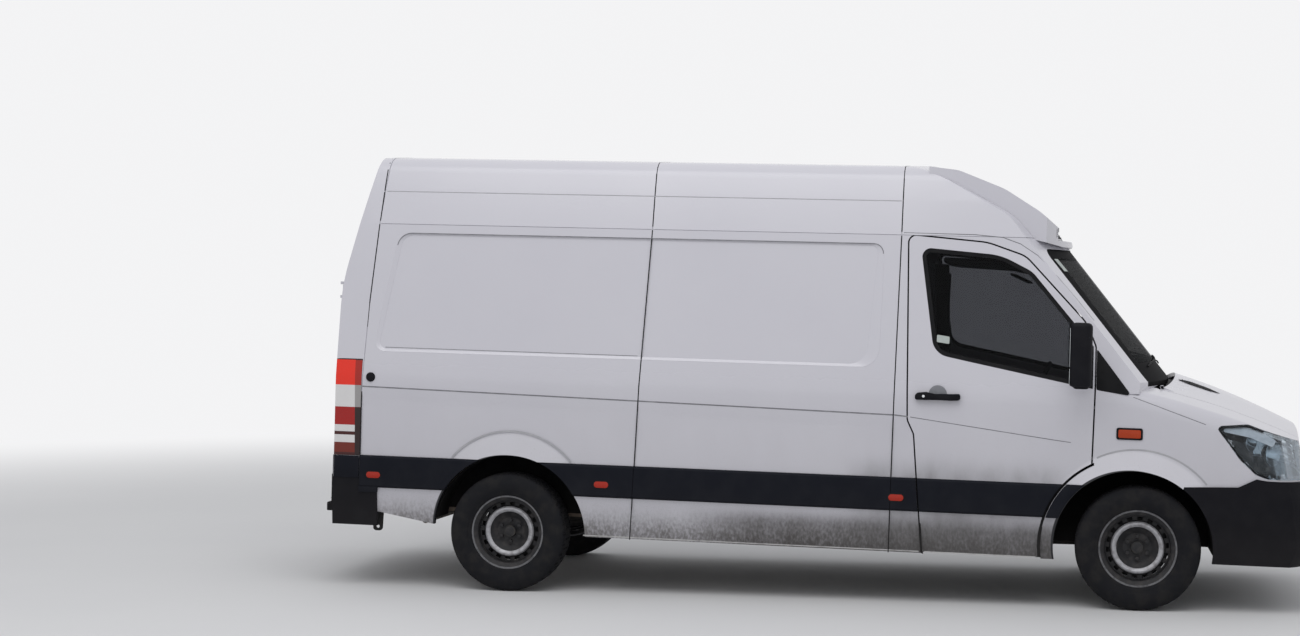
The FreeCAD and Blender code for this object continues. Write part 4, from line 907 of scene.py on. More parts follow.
def road_tyre():
    """Tyre about the Y axis: walls that bulge, shoulder and cut tread blocks."""
    wall = [(0.086, 0.2195), (0.097, 0.2200), (0.104, 0.2300), (0.106, 0.2400), (0.1075, 0.2405),
            (0.113, 0.2560), (0.1165, 0.2780), (0.1155, 0.3000), (0.1110, 0.3180), (0.1045, 0.3330),
            (0.0960, 0.3430), (0.0860, 0.3475), (0.0700, 0.3490)]
    tread = [(0.0560, 0.3495), (0.0550, 0.3425), (0.0470, 0.3425), (0.0460, 0.3497), (0.0230, 0.3500),
             (0.0220, 0.3430), (0.0130, 0.3430), (0.0120, 0.3500)]

    def cut(centre, normal):
        """Every fourth column of the shoulder, and between them every fourth of the middle."""
        radius = math.hypot(centre.x, centre.z)
        turn = math.atan2(centre.z, centre.x) / (2 * math.pi / TYRE_STEPS)
        column = int(round(turn + 0.5)) % 4
        shoulder = 0.062 < abs(centre.y) < 0.100 and radius > 0.340
        middle = abs(centre.y) < 0.050 and radius > 0.3485
        return (shoulder and column == 0) or (middle and column == 2)

    tyre = spun(mirrored_rows(wall + tread), TYRE_STEPS)
    edit(tyre, cut)
    bpy.ops.mesh.inset(thickness=0.0022, depth=-0.005, use_individual=True)
    object_mode()
    return tyre


def wheels():
    """A wheel and a tyre at each corner, their outer faces outward."""
    wheel, tyre = steel_wheel(), road_tyre()
    for end, x, y in (("front", FRONT_X, FRONT_Y), ("rear", REAR_X, REAR_Y)):
        for side, way in SIDES.items():
            turn = Matrix.Rotation(math.pi if way > 0 else 0, 4, "Z")
            place = Matrix.Translation((x, y * -way, TYRE_R)) @ turn
            name = end + "_" + side
            for part, label, node, look in ((wheel, "steel_wheel_", "wheel_", WHEEL_LOOKS),
                                            (tyre, "road_tyre_", "tyre_", TYRE)):
                piece = finish(twin(part, place), label + name, look, "wheel_" + name, raked=False)
                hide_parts(node + name)
    for part in (wheel, tyre):
        bpy.data.objects.remove(part)


# Door glass surround and quarter trim

WINDOW = [(2.392, 2.104, 0.050), (2.850, 2.068, 0.350), (3.030, 1.978, 0.150), (3.346, 1.606, 0.020),
          (3.352, 1.326, 0.015), (2.700, 1.450, 0.080), (2.486, 1.492, 0.110)]
QUARTER = [(3.404, 1.548, 0.004), (3.602, 1.290, 0.012), (3.404, 1.316, 0.004)]
DOOR_BLACK = [(3.340, 1.612, 0.004), (3.385, 1.560, 0.004), (3.385, 1.322, 0.004), (3.344, 1.330, 0.004)]


def window_seals():
    """Black rubber round the door glass and the black trims before and behind the door's front edge."""
    edge = rounded(WINDOW, 8)
    ring = band(on_side(edge, -0.004), on_side(inset(edge, 0.024), -0.007), 0.003)
    pillar = plate(on_side(rounded(DOOR_BLACK), -0.001), (0, -0.003, 0), 0.001)
    trim = plate(on_side(rounded(QUARTER), -0.002), (0, -0.005, 0), 0.001)
    pair(ring, "window_seal_", RUBBER, "door_")
    pair(pillar, "door_post_trim_", RUBBER, "door_")
    pair(trim, "quarter_trim_", RUBBER)


# Headlamps

LAMP_EDGE = [(4.450, 0.852, 0), (4.353, 0.853, 0.040), (4.288, 0.877, 0.040), (4.203, 0.957, 0.050),
             (4.078, 1.120, 0.010), (4.094, 1.136, 0.010), (4.240, 1.148, 0.070), (4.328, 1.117, 0.010),
             (4.440, 1.062, 0)]
# How far forward the lamp's rubber edge runs
LAMP_SEAL_END = 4.43
LAMP_UPPER = [(4.100, 1.108, 0.010), (4.120, 1.126, 0.020), (4.240, 1.136, 0.060), (4.320, 1.108, 0.010),
              (4.400, 1.066, 0.010), (4.380, 1.030, 0.010), (4.260, 1.078, 0.060), (4.170, 1.096, 0.050)]
# Lamp bowls: x, y, z of the bottom, radius, depth; and how far they look outward, in degrees
LAMP_BOWLS = [(4.350, -0.780, 0.985, 0.070, 0.055), (4.235, -0.870, 1.050, 0.050, 0.040)]
LAMP_TOE = 52
# A bowl's profile: share of its depth, thickness added, share of its radius
BOWL = [(1, 0, 1), (0.9, 0, 0.93), (0.45, 0, 0.72), (0.1, 0, 0.35), (0, 0, 0), (0, 0.004, 0), (0, 0.004, 0.4),
        (0.4, 0, 0.80), (1, 0, 1.04)]


def on_lamp(point, depth=0.0):
    """Point of the right lamp's face, moved inward."""
    return from_side("headlamps", [point])[0] + Vector((-0.2 * depth, depth, 0))


def lamp_skin(outside, name, thickness, material):
    """Outward face of the CAD headlamps as a thin skin, or all the rest of them."""
    source = frame["nodes"]["headlamps"]
    skin = source.copy()
    skin.data = source.data.copy()
    skin.modifiers.clear()
    skin.parent = None
    skin.matrix_world = Matrix.Identity(4)
    bpy.context.collection.objects.link(skin)
    tidy(skin, outward=False)

    def dropped(centre, normal):
        outer = normal.y * centre.y > 0 and abs(normal.y) > 0.02 and normal.x > -0.5
        return outer != outside

    drop_faces(skin, dropped)
    modify(skin, "SOLIDIFY", thickness=thickness, offset=-1)
    return finish(skin, name, material, raked=False)


def headlamps():
    """Clear cover over a dark tray with a bright upper reflector and two round lamps."""
    lens = lamp_skin(True, "headlamp_lenses", 0.003, CLEAR)
    tray = lamp_skin(False, "headlamp_trays", 0.002, INSIDE)
    for skin in (lens, tray):
        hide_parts("headlamps")
    edge = rounded(LAMP_EDGE, 5)
    rest = [i for i, p in enumerate(edge) if p.x < LAMP_SEAL_END]
    lift = Vector((0, 0.0012, 0))
    sides = [[on_lamp(p) - lift for p in chosen(line, rest)] for line in (edge, inset(edge, 0.008))]
    pair(lane(*sides, 0.002), "headlamp_seal_", RUBBER)
    upper = [on_lamp(p, 0.014) for p in rounded(LAMP_UPPER, 5)]
    pair(plate(upper, (0, 0.002, 0)), "headlamp_reflector_", REFLECTOR)
    bowls = []
    for x, y, z, radius, depth in LAMP_BOWLS:
        place = Matrix.Translation((x, y, z)) @ Matrix.Rotation(math.radians(LAMP_TOE), 4, "Z")
        profile = [(more - depth * far, max(radius * wide, 0.0002)) for far, more, wide in BOWL]
        bowls.append(spun(profile, 40, place=place))
    pair(joined(bowls), "headlamp_bowls_", CHROME)


# Lines and trims of the body side

REAR_SEAM = [(-0.921, 0.600), (-0.921, 1.107), (-0.904, 1.708), (-0.876, 2.168)]
MID_SEAM = [(0.742, 0.345), (0.758, 0.778), (0.774, 1.250), (0.807, 2.168)]
CAB_SEAM = [(2.256, 0.345), (2.261, 0.778), (2.267, 1.250), (2.278, 2.168)]
WAIST = [(-0.917, 1.190), (2.262, 1.1351)]
WAIST_POST = [(2.271, 1.1349), (2.348, 1.1281)]
WAIST_DOOR = [(2.362, 1.1264), (2.700, 1.0846), (3.175, 1.026), (3.270, 1.0155)]
RECESS = [(-0.862, 1.404, 0.060), (-0.745, 2.121, 0.090), (2.180, 2.121, 0.060), (2.172, 1.404, 0.110)]
RECESS_FIELD = [(-0.834, 1.419, 0.045), (-0.722, 2.108, 0.077), (2.150, 2.108, 0.048), (2.098, 1.419, 0.105)]
RECESS_LINE = [(-0.790, 1.428), (0.755, 1.424)]
ROOF_CREASE = [(-0.850, 2.371), (2.270, 2.371)]
ROOF_CREASE_Y = -0.7985
FLANGE_Z = 0.3585
SEAM_HALF = 0.0032
# Side seams: points from the sill up, and where the seam crosses the roof's middle
SEAMS = {"rear": (REAR_SEAM, -0.845), "middle": (MID_SEAM, 0.807), "cab": (CAB_SEAM, 2.278)}


def roof_line(x_side, x_top):
    """Points over the roof from side to side, met by rays towards a line under its middle."""
    points = []
    for k in range(45):
        angle = math.radians(35 + 110 * k / 44)
        out = Vector((0, -math.cos(angle), math.sin(angle)))
        x = x_side + (x_top - x_side) * min(max(math.sin(angle) * 2.2 - 1.2, 0), 1)
        # The ray runs 20 mm ahead, clear of the joint between two panels
        ahead = Vector((0.02, 0, 0))
        hit = touched("roof", Vector((x, 0, 1.6)) + ahead + out * 2, -out)
        points.append(hit + out * 0.0004 - ahead)
    return points


def panel_lines():
    """Dark gaps between the side panels and over the roof, and painted shade lines along the pressed creases.
    """
    for name, (seam, top_x) in SEAMS.items():
        pair(ribbon(on_side(seam, 0.0004), (SEAM_HALF, 0, 0)), name + "_seam_", RUBBER)
        finish(ribbon(roof_line(seam[-1][0], top_x), (SEAM_HALF, 0, 0)), name + "_roof_seam", RUBBER)
    # Painted shade along the waist crease, the recess's foot, the roof crease and the wing crease
    for name, line, half, body in (("waist_line_", WAIST, 0.0038, "body"),
                                   ("waist_post_line_", WAIST_POST, 0.0038, "body"),
                                   ("waist_door_line_", WAIST_DOOR, 0.0022, "door_")):
        pair(ribbon(on_side(line, 0.0002), (0, 0, half)), name, SHADOW, body)
    pair(ribbon(on_side(RECESS_LINE, -0.0086), (0, 0, 0.0016)), "recess_line_", SHADOW)
    crease = [(x, ROOF_CREASE_Y, z) for x, z in ROOF_CREASE]
    pair(ribbon(crease, (0, 0, 0.0022), 0.0008), "roof_crease_", SOFT_SHADOW)
    wing = from_side("fender_right", [(3.610 + 0.040 * i, 1.283 - 0.0139 * i) for i in range(11)], 0.0002)
    pair(ribbon(wing, (0, 0, 0.0022)), "wing_crease_", SHADOW)
    for name, start, end, body in (("sill_flange_", 0.462, 2.430, "body"),
                                   ("door_flange_", 2.462, 3.090, "door_")):
        foot = on_side([(start, FLANGE_Z), (end, FLANGE_Z)], 0.0002)
        pair(ribbon(foot, (0, 0, 0.0030), 0.0008), name, SILL_EDGE, body)


def recess_edges():
    """Sloping edge pressed round the field of the right side, and painted shade lines round both; the left
    side has no pressing, only its painted shade line.
    """
    edge, field = rounded(RECESS, 8), rounded(RECESS_FIELD, 8)
    start = inset(edge, -0.001)
    finish(band(on_side(start, 0.0004), on_side(field, -0.0087), 0.0012), "recess_edge_right", WHITE)
    # Painted shade line round the left side's field, which has no pressed recess
    rim = band(on_side(start, 0.0008), on_side(inset(edge, 0.006), 0.0008))
    left_only(rim, "recess_edge_left", SOFT_SHADOW)
    top = [i for i, p in enumerate(edge) if p.y > 1.9]
    sides = [on_side(chosen(inset(edge, amount), top), proud)
             for amount, proud in ((0.0005, 0.0008), (0.0055, 0.0002))]
    pair(lane(*sides), "recess_top_line_", SHADOW)


DOOR_EDGE = [(2.447, 0.352, 0.008), (2.388, 1.030, 0.060), (2.350, 1.110, 0.060), (2.323, 2.172, 0.040),
             (2.772, 2.136, 0.300), (2.990, 2.062, 0.150), (3.340, 1.690, 0.250), (3.340, 0.352, 0)]


# Rubber behind a gap: how far in from the side, and its thickness
SEAL_IN = -0.019
SEAL_THICK = 0.004
GUTTER = [(2.290, 2.185), (2.700, 2.183), (2.860, 2.170), (2.960, 2.135), (3.060, 2.070), (3.180, 1.945),
          (3.290, 1.820), (3.385, 1.705)]


def gap_seals():
    """Rubber behind the gap round each cab door, from the sill up to the front pillar."""
    edge = rounded(DOOR_EDGE, 8)
    keep = [i for i, p in enumerate(edge) if p.x < 3.335 and not (p.y < 0.5 and p.x > 2.6)]
    heights = [0.356 + 0.063 * k for k in range(9)]
    door = [chosen(inset(edge, amount), keep) for amount in (-0.0085, 0.0035)]
    wing = [behind_wheel(radius, heights) for radius in (DOOR_ARCH_R + 0.0015, WING_EDGE_R - 0.0015)]
    pair(lane(*(on_side(line, SEAL_IN) for line in door), SEAL_THICK), "door_gap_seal_", RUBBER)
    path = [hit - Vector((0, 0.0004, 0)) for x, z in GUTTER
            for hit in outermost(("cab_frame", "roof"), (x, BESIDE, z), (0, 1, 0))]
    pair(ribbon(path, (0, 0, 0.0024)), "gutter_line_", SHADOW)
    pair(lane(*(on_side(line, SEAL_IN) for line in wing), SEAL_THICK), "wing_gap_seal_", RUBBER)


def arch_trims():
    """Shaded foot of each arch lip and the strip's short piece on the wing behind the wheel."""
    for name, (x, z, radius) in FLARES.items():
        reach = math.degrees(math.asin((FLARE_FOOT - z) / radius))
        outer, inner = (arc_points((x, z), radius + more, reach, 180 - reach) for more in (0.003, -0.007))
        keep = [i for i, p in enumerate(outer) if name == "rear" or 3.405 < p[0] < 4.04]
        sides = [[(a, -SIDE_Y - proud, b) for a, b in chosen(line, keep)]
                 for line, proud in ((outer, 0.0005), (inner, 0.0015))]
        pair(lane(*sides), name + "_arch_line_", SOFT_SHADOW)
    heights = [STRIP_LOW + (STRIP_HIGH - STRIP_LOW) * k / 10 for k in range(11)]
    sides = [behind_wheel(radius, heights) for radius in (WING_EDGE_R - 0.002, FRONT_ARCH_R + 0.003)]
    strip = lane(*([(x, -SIDE_Y - 0.0095, z) for x, z in side] for side in sides), 0.008)
    round_edges(strip, 0.003)
    pair(strip, "wing_strip_", STRIP)


def rear_liners():
    """Black lining of the rear wheelhouses: tunnel and inner wall."""
    outside, inside = -0.934, -0.678
    arc = arc_points(REAR_ARCH, REAR_ARCH_R, 2, 172)
    tunnel = lane(*([(x, y, z) for x, z in arc] for y in (outside, inside)), 0.003)
    wall = slab([(x, z) for x, z in arc if z > 0.42], inside, inside - 0.003)
    pair(joined([tunnel, wall]), "rear_arch_lining_", LINER)


def corner_covers():
    """Black cover of each rear corner between lamp and bumper, in line with the rub strip."""
    plan = [(-0.924, -0.9855), (-0.924, -0.9960), (-1.050, -0.9960), (-1.082, -0.988), (-1.0955, -0.968),
            (-1.0965, -0.868), (-1.0865, -0.868), (-1.0860, -0.9855)]
    cover = plate([(x, y, 0.640) for x, y in plan], (0, 0, 0.1315), 0.003)
    foot = slab([(-0.925, 0.556), (-0.806, 0.556), (-0.806, 0.592), (-0.925, 0.592)], -0.9855, -0.993, 0.002)
    pair(joined([cover, foot]), "rear_corner_cover_", STRIP)


# Door handles, caps and stickers

HANDLE = [(2.389, 1.248, 0.016), (2.396, 1.268, 0.016), (2.450, 1.274, 0.020), (2.500, 1.264, 0.060),
          (2.590, 1.258, 0.040), (2.636, 1.260, 0.014), (2.645, 1.246, 0.014), (2.634, 1.231, 0.014),
          (2.590, 1.229, 0.040), (2.500, 1.231, 0.060), (2.450, 1.228, 0.020), (2.398, 1.230, 0.016)]


# How far out the handle's face and its back stand
HANDLE_FACE = -1.0125
HANDLE_BACK = -0.9865
# Centres of the scoop, the lock barrel and the filler cap, x and z
SCOOP_PLACE = (2.516, 1.262)
SCOOP_R = 0.052
LOCK_PLACE = (2.436, 1.250)
CAP_PLACE = (-0.867, 1.247)


def at_side(place):
    """Matrix that moves a piece to an (x, z) place on the right side's surface."""
    return Matrix.Translation((place[0], side_y(*place), place[1]))


def handles():
    """Pull handles with their scoops, flat discs painted with the hollow's shade, and lock barrels on the cab
    doors.
    """
    bowl = [(-0.0006, SCOOP_R), (-0.0006, SCOOP_R * 0.93), (-0.0004, SCOOP_R * 0.7), (-0.0002, 0.0005),
            (0.0002, 0.0005), (0.0002, SCOOP_R)]
    pair(spun(bowl, 40, place=at_side(SCOOP_PLACE)), "handle_scoop_", SCOOP_SHADE, "door_")
    pair(slab(rounded(HANDLE, 5), HANDLE_FACE, HANDLE_BACK, 0.007), "door_handle_", BLACK, "door_", 40)
    barrel = [(-0.003, 0.0003), (-0.003, 0.0075), (0, 0.0090), (0.0035, 0.0090), (0.0035, 0.0003)]
    place = Matrix.Translation((LOCK_PLACE[0], HANDLE_FACE, LOCK_PLACE[1]))
    pair(spun(barrel, 24, place=place), "door_lock_", CHROME, "door_")


def sliding_door_grip():
    """Upright grip of the sliding door and the rail behind it, on the left."""
    grip = plate(on_side(lozenge(2.120, 1.262, 0.024, 0.105, 0.022), 0.022), (0, 0.026, 0), 0.007)
    rail = ribbon(on_side([(0.715, 1.205), (-0.870, 1.230)], 0.0006), (0, 0, 0.0105), 0.0012)
    left_only(grip, "sliding_door_grip", BLACK, 40)
    left_only(rail, "sliding_door_rail", BLACK, 40)


def side_cap():
    """Round black filler cap on the rear quarter."""
    cap = [(-0.012, 0.0004), (-0.012, 0.018), (-0.010, 0.0235), (-0.006, 0.0265), (0.0, 0.0285),
           (0.004, 0.0285), (0.004, 0.0004)]
    finish(spun(cap, 40, place=at_side(CAP_PLACE)), "quarter_cap_right", BLACK)


def stickers():
    """Small blank labels on the glass."""
    corners = [(2.500, 1.560, 0.006), (2.500, 1.602, 0.006), (2.572, 1.592, 0.006), (2.572, 1.550, 0.006)]
    on_door = plate(on_side(rounded(corners), -0.0066), (0, -0.0004, 0))
    finish(on_door, "door_label_right", LABEL, "door_right")
    corners = [(-0.690, 2.055), (-0.640, 2.055), (-0.640, 1.985), (-0.690, 1.985)]
    pane = [on_screen(y, z, 0) + Vector((0.0008, 0, 0)) for y, z in corners]
    finish(plate(pane, (0.0006, 0, 0.0003)), "windscreen_label", LABEL)


# Mirrors and wipers

MIRROR_PLAN = [(3.262, -1.085, 0.040), (3.355, -1.085, 0.040), (3.387, -1.213, 0.045), (3.250, -1.213, 0.030)]
MIRROR_FOOT = 1.328
# Heights of each glass's edges, and how far the glass slants forward per metre inward
MIRROR_GLASSES = [(1.452, 1.668), (1.352, 1.440)]
MIRROR_SLANT = 0.094


def mirrors():
    """Tall rounded housings on their arms, with a flat glass over a wide-angle one."""
    head = plate([(p[0], p[1], MIRROR_FOOT) for p in rounded(MIRROR_PLAN)], (0, 0, 0.370))
    round_edges(head, 0.026, 5, 60)
    # The foot is drawn in
    edit(head, lambda centre, normal: normal.z < -0.5)
    bpy.ops.transform.resize(value=(0.82, 0.86, 1), center_override=(3.33, -1.13, MIRROR_FOOT))
    object_mode()
    arm = block((3.348, -1.100, 1.422), (3.382, -0.944, 1.468), 0.012, 3)
    for one in pair(joined([head, arm]), "mirror_housing_", BLACK, "door_", 40):
        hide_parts("mirror_" + one.name.split("_")[-1])
    glasses = []
    for low, high in MIRROR_GLASSES:
        pane = [(3.2485 + (y + 1.213) * MIRROR_SLANT, y, z) for y, z in
                ((-1.196, low), (-1.104, low), (-1.104, high), (-1.196, high))]
        glasses.append(plate(pane, (0.002, 0, 0), 0.0006))
    pair(joined(glasses), "mirror_glass_", MIRROR_GLASS, "door_")


# Each wiper's pivot and the reach of its blade across the screen
WIPERS = [(-0.60, 0.02), (0.06, 0.66)]


def wipers():
    """Two parked wipers: arm, blade and rubber along the foot of the windscreen."""
    for i, (pivot, tip) in enumerate(WIPERS):
        steps = [pivot + 0.06 + (tip - pivot) * k / 8 for k in range(9)]
        blade = [on_screen(y, 1.456 + 0.030 * k / 8, 0.0045) for k, y in enumerate(steps)]
        arm = [on_screen(pivot - 0.02, 1.442, 0.007), on_screen(pivot + 0.02, 1.450, 0.010),
               on_screen(pivot + 0.07 + (tip - pivot) * 0.5, 1.473, 0.010)]
        strip = ribbon(blade, (0.003, 0, 0.006), 0.005)
        finish(joined([strip, run_of_pipe(arm, 0.0045, smooth=False)]), "wiper_%d" % i, RUBBER)


# Side lamps

# Where the side markers stand, and the repeater's centre, x and z
MARKERS_X = (-0.832, 0.565, 2.293)
MARKERS_Z = 0.6615
REPEATER = (3.594, 1.076)
# Outer face of the rub strip, which carries the markers
STRIP_FACE = -SIDE_Y - 0.0115


def side_lamps():
    """Oval side markers on their bases and the repeater in its dark frame."""
    lenses, bases = [], []
    for x in MARKERS_X:
        lens = lozenge(x, MARKERS_Z, 0.043, 0.0185, 0.018)
        base = lozenge(x, MARKERS_Z, 0.050, 0.0245, 0.024)
        lenses.append(slab(lens, STRIP_FACE - 0.0005, STRIP_FACE - 0.003, 0.0012))
        bases.append(slab(base, STRIP_FACE + 0.001, STRIP_FACE - 0.001, 0.0008))
    around = from_side("fender_right", lozenge(*REPEATER, 0.073, 0.0335, 0.012), 0.002)
    bases.append(plate(around, (0, -0.004, 0), 0.0015))
    inner = from_side("fender_right", lozenge(*REPEATER, 0.062, 0.0235, 0.009), 0.003)
    lenses.append(plate(inner, (0, -0.0055, 0), 0.002))
    for one in pair(joined(lenses), "marker_lenses_", AMBER):
        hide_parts("marker_lamps")
    pair(joined(bases), "marker_bases_", RUBBER)


# Bonnet and fairing details

FRONT_SHELL = ("roof_fairing", "roof", "cab_frame")


def bonnet_details():
    """Two slim air slots with fins near the bonnet's rear edge."""
    rim = rounded([(3.886, -0.316, 0.006), (3.950, -0.350, 0.06), (4.060, -0.342, 0.06),
                   (4.134, -0.296, 0.004), (4.060, -0.266, 0.06), (3.950, -0.260, 0.06)], 4)
    slot = [plate([on_bonnet(p.x, p.y, 0.0022) for p in rim], (0.0004, 0, 0.0014))]
    for k in range(5):
        a, b = (on_bonnet(3.915 + 0.04 * k, y, 0.0035) for y in (-0.334, -0.276))
        slot.append(run_of_pipe([a, (a + b) / 2, b], 0.0022))
    pair(joined(slot), "bonnet_slot_", RUBBER, "bonnet")


def across(z, half, off):
    """Points across the front of the cab's roof and fairing at a height, moved forward."""
    return [hit + Vector((off, 0, 0)) for k in range(25)
            for hit in outermost(FRONT_SHELL, (AHEAD, half * (k / 12 - 1), z), (-1, 0, 0))]


def fairing_details():
    """Dark mouth across the cooling unit's housing, with the fins in it."""
    finish(lane(across(2.180, 0.585, 0.0008), across(2.236, 0.585, 0.0008), 0.0012), "fairing_mouth", RUBBER)
    fins = [ribbon(across(z, 0.580, 0.0022), (0, 0, 0.0020), 0.004) for z in (2.190, 2.202, 2.214, 2.226)]
    finish(joined(fins), "fairing_fins", BLACK)
    finish(ribbon(across(2.172, 0.600, 0.0008), (0, 0, 0.0018), 0.0008), "fairing_lip_line", SHADOW)


# Front and rear

# Outer faces of the rear door handle's plate and of the bumper's corners
GRIP_FACE = -1.0975
CORNER_FACE = -1.0925
# Number plate's middle, y and z, with its half width and half height
PLATE_PLACE = (0.330, 0.935)
PLATE_HALF = (0.255, 0.060)
# Painted shade lines round pressed panels of the rear doors: heights of foot and head, and the head's lean at
# the outer edge
REAR_PANELS = [(0.745, 1.020, 0), (1.250, 2.080, 0.0954)]


def rear_details():
    """Door handle, plate holder and its light bar, high lamp, painted shade lines of pressed door panels and
    step tread.
    """
    # The frame for a number plate is left empty
    x = on_rear(*PLATE_PLACE, 0.002).x
    half, rise = PLATE_HALF
    outer, inner = ([(x, p.x, p.y) for p in lozenge(*PLATE_PLACE, half + more, rise + more, 0.014, 4)]
                    for more in (0.012, 0))
    finish(band(outer, inner, 0.006), "rear_plate_holder", BLACK, "rear_door_left")
    bar = block((-1.118, 0.080, 1.030), (-1.083, 0.580, 1.062), 0.008, 3)
    finish(bar, "plate_light_bar", WHITE, "rear_door_left", angle=40)
    grip = plate([(GRIP_FACE, p.x, p.y) for p in lozenge(-0.1375, 1.170, 0.0775, 0.022, 0.012, 4)],
                 (0.012, 0, 0), 0.004)
    pull = block((-1.116, -0.205, 1.160), (-1.094, -0.085, 1.182), 0.006, 3)
    finish(joined([grip, pull]), "rear_door_handle", BLACK, "rear_door_right", angle=40)
    for low, high, lean in REAR_PANELS:
        shape = rounded([(-0.735, low, 0.06), (-0.080, low, 0.05), (-0.080, high, 0.05),
                         (lean - 0.735, high, 0.09)])
        pair(traced(shape, on_rear, 0.0004, 0.007), "rear_panel_line_%d_" % int(low * 1000), SOFT_SHADOW,
             "rear_door_")
    lamp_x = touched("rear_frame", (BEHIND, 0, 2.545), (1, 0, 0)).x
    lamp = block((lamp_x - 0.016, -0.150, 2.528), (lamp_x + 0.006, 0.150, 2.556), 0.005, 3)
    finish(lamp, "high_brake_lamp", RED, angle=40)
    ribs = [block((-1.228 + 0.022 * k, -0.600, 0.4665), (-1.218 + 0.022 * k, 0.600, 0.4700), 0.0012)
            for k in range(4)]
    finish(joined(ribs), "step_tread", RUBBER)
    pads = [plate([(CORNER_FACE, p.x, p.y) for p in lozenge(y, 0.560, 0.055, 0.018, 0)],
                  (-0.006, 0, 0), 0.002) for y in (-0.900, 0.900)]
    finish(joined(pads), "rear_reflectors", RED)


def front_details():
    """Bumper seams, covers beside the lower opening, its bars and the radiator behind them."""
    # Height at which the bumper's face is met, over the opening
    face_z = 0.600
    core_x = on_front(0, face_z).x - 0.150
    core = [block((core_x, -0.560, 0.420), (core_x + 0.016, 0.560, 0.640), 0.004)]
    for k in range(11):
        core.append(run_of_pipe([(core_x + 0.018, y, 0.430 + 0.020 * k) for y in (-0.550, 0, 0.550)], 0.0035))
    finish(joined(core), "radiator_core", LINER)
    for z in (0.487, 0.515, 0.543):
        drop = Vector((0, 0, z - face_z))
        path = [on_front(y, face_z, -0.026) + drop for y in (-0.515, -0.26, 0, 0.26, 0.515)]
        finish(run_of_pipe(path, 0.0045), "lower_bar_%d" % int(z * 1000), BLACK)
    cover = rounded([(-0.860, 0.470, 0.02), (-0.600, 0.470, 0.03), (-0.620, 0.600, 0.03),
                     (-0.845, 0.600, 0.05)], 5)
    pair(traced(cover, on_front, 0.0006, 0.010, 0.004), "fog_cover_rim_", RUBBER)
    cup = [(-0.004, 0.0004), (-0.004, 0.036), (0.004, 0.040), (0.010, 0.040), (0.010, 0.0004)]
    place = Matrix.Translation(on_front(-0.725, 0.535, 0.004)) @ Matrix.Rotation(math.radians(70), 4, "Z")
    pair(spun(cup, 36, place=place), "fog_cover_", BLACK)
    seam = ribbon([on_front(y, 0.800, 0.0008) for y in (-0.60, -0.3, 0, 0.3, 0.60)], (0, 0, 0.002))
    field = traced(lozenge(0, 0.6575, 0.275, 0.0675, 0.016, 4), on_front, 0.0003, 0.004, 0.0005)
    finish(joined([seam, field]), "bumper_seams", INSIDE)


# Interior

def padded_cushion(corners, low, high):
    """Stuffed cushion of a side outline (x, z, radius) between two widths."""
    pad = slab(rounded(corners, 5), low, high)
    round_edges(pad, 0.030, 4, 60)
    return pad


CUSHION = [(2.405, 0.835, 0.03), (2.405, 0.945, 0.04), (2.600, 0.955, 0.1), (2.895, 0.980, 0.05),
           (2.895, 0.835, 0.03)]
BACKREST = [(2.405, 0.930, 0.03), (2.305, 1.585, 0.05), (2.395, 1.596, 0.05), (2.470, 1.250, 0.2),
            (2.535, 0.950, 0.04)]
HEAD_REST = [(2.312, 1.635, 0.02), (2.294, 1.785, 0.035), (2.375, 1.795, 0.035), (2.398, 1.635, 0.02)]
HEAD_REST_HALF = 0.128
# Each seat: its sides, and the middle of each head rest
SEATS = {"right": (-0.760, -0.210, [-0.485]), "left": (-0.120, 0.760, [0.100, 0.540])}


def seats():
    """Driver's seat and the double bench beside it, with head rests."""
    stems = []
    for label, (low, high, heads) in SEATS.items():
        pieces = [padded_cushion(corners, low, high) for corners in (CUSHION, BACKREST)]
        for y in heads:
            pieces.append(padded_cushion(HEAD_REST, y - HEAD_REST_HALF, y + HEAD_REST_HALF))
            stems += [run_of_pipe([(2.350, at, 1.575), (2.352, at, 1.61), (2.354, at, 1.645)], 0.006)
                      for at in (y - 0.05, y + 0.05)]
        seat = finish(joined(pieces), "seat_" + label, CLOTH, angle=50)
        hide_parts("seats")
    finish(joined(stems), "head_rest_stems", CHROME)


def cab_details():
    """Binnacle, console and vents on the dashboard, the shelf over the screen and the belt posts."""
    hood = slab([(3.190, 1.262), (3.215, 1.330), (3.300, 1.362), (3.420, 1.330), (3.300, 1.300)],
                -0.620, -0.240, 0.014)
    console = slab([(3.150, 0.930), (3.165, 1.260), (3.240, 1.330), (3.300, 1.310), (3.300, 0.930)],
                   -0.140, 0.160, 0.016)
    finish(joined([hood, console]), "dashboard_hood", INSIDE, angle=40)
    vents = [block((3.183, y - 0.045, 1.180), (3.196, y + 0.045, 1.228), 0.008, 3)
             for y in (-0.800, -0.060, 0.100, 0.760)]
    finish(joined(vents), "dashboard_vents", RUBBER)
    shelf = slab([(2.520, 2.020), (2.560, 2.000), (2.900, 1.985), (2.985, 1.965), (2.985, 1.995),
                  (2.900, 2.040), (2.520, 2.050)], -0.780, 0.780, 0.012)
    visors = [slab([(2.900, 1.955), (3.010, 1.905), (3.020, 1.917), (2.905, 1.970)], y, y + 0.440, 0.006)
              for y in (-0.700, 0.260)]
    finish(joined([shelf] + visors), "overhead_shelf", INSIDE, angle=40)
    post = slab([(2.400, 0.760), (2.520, 0.760), (2.500, 1.300), (2.476, 2.020), (2.350, 2.020)],
                -0.845, -0.805, 0.010)
    belt = ribbon([(2.470, -0.801, 1.960), (2.450, -0.800, 1.300), (2.440, -0.800, 0.800)],
                  (0.022, 0, 0), 0.002)
    pair(joined([post, belt]), "belt_post_", INSIDE)


# Camera, light and floor

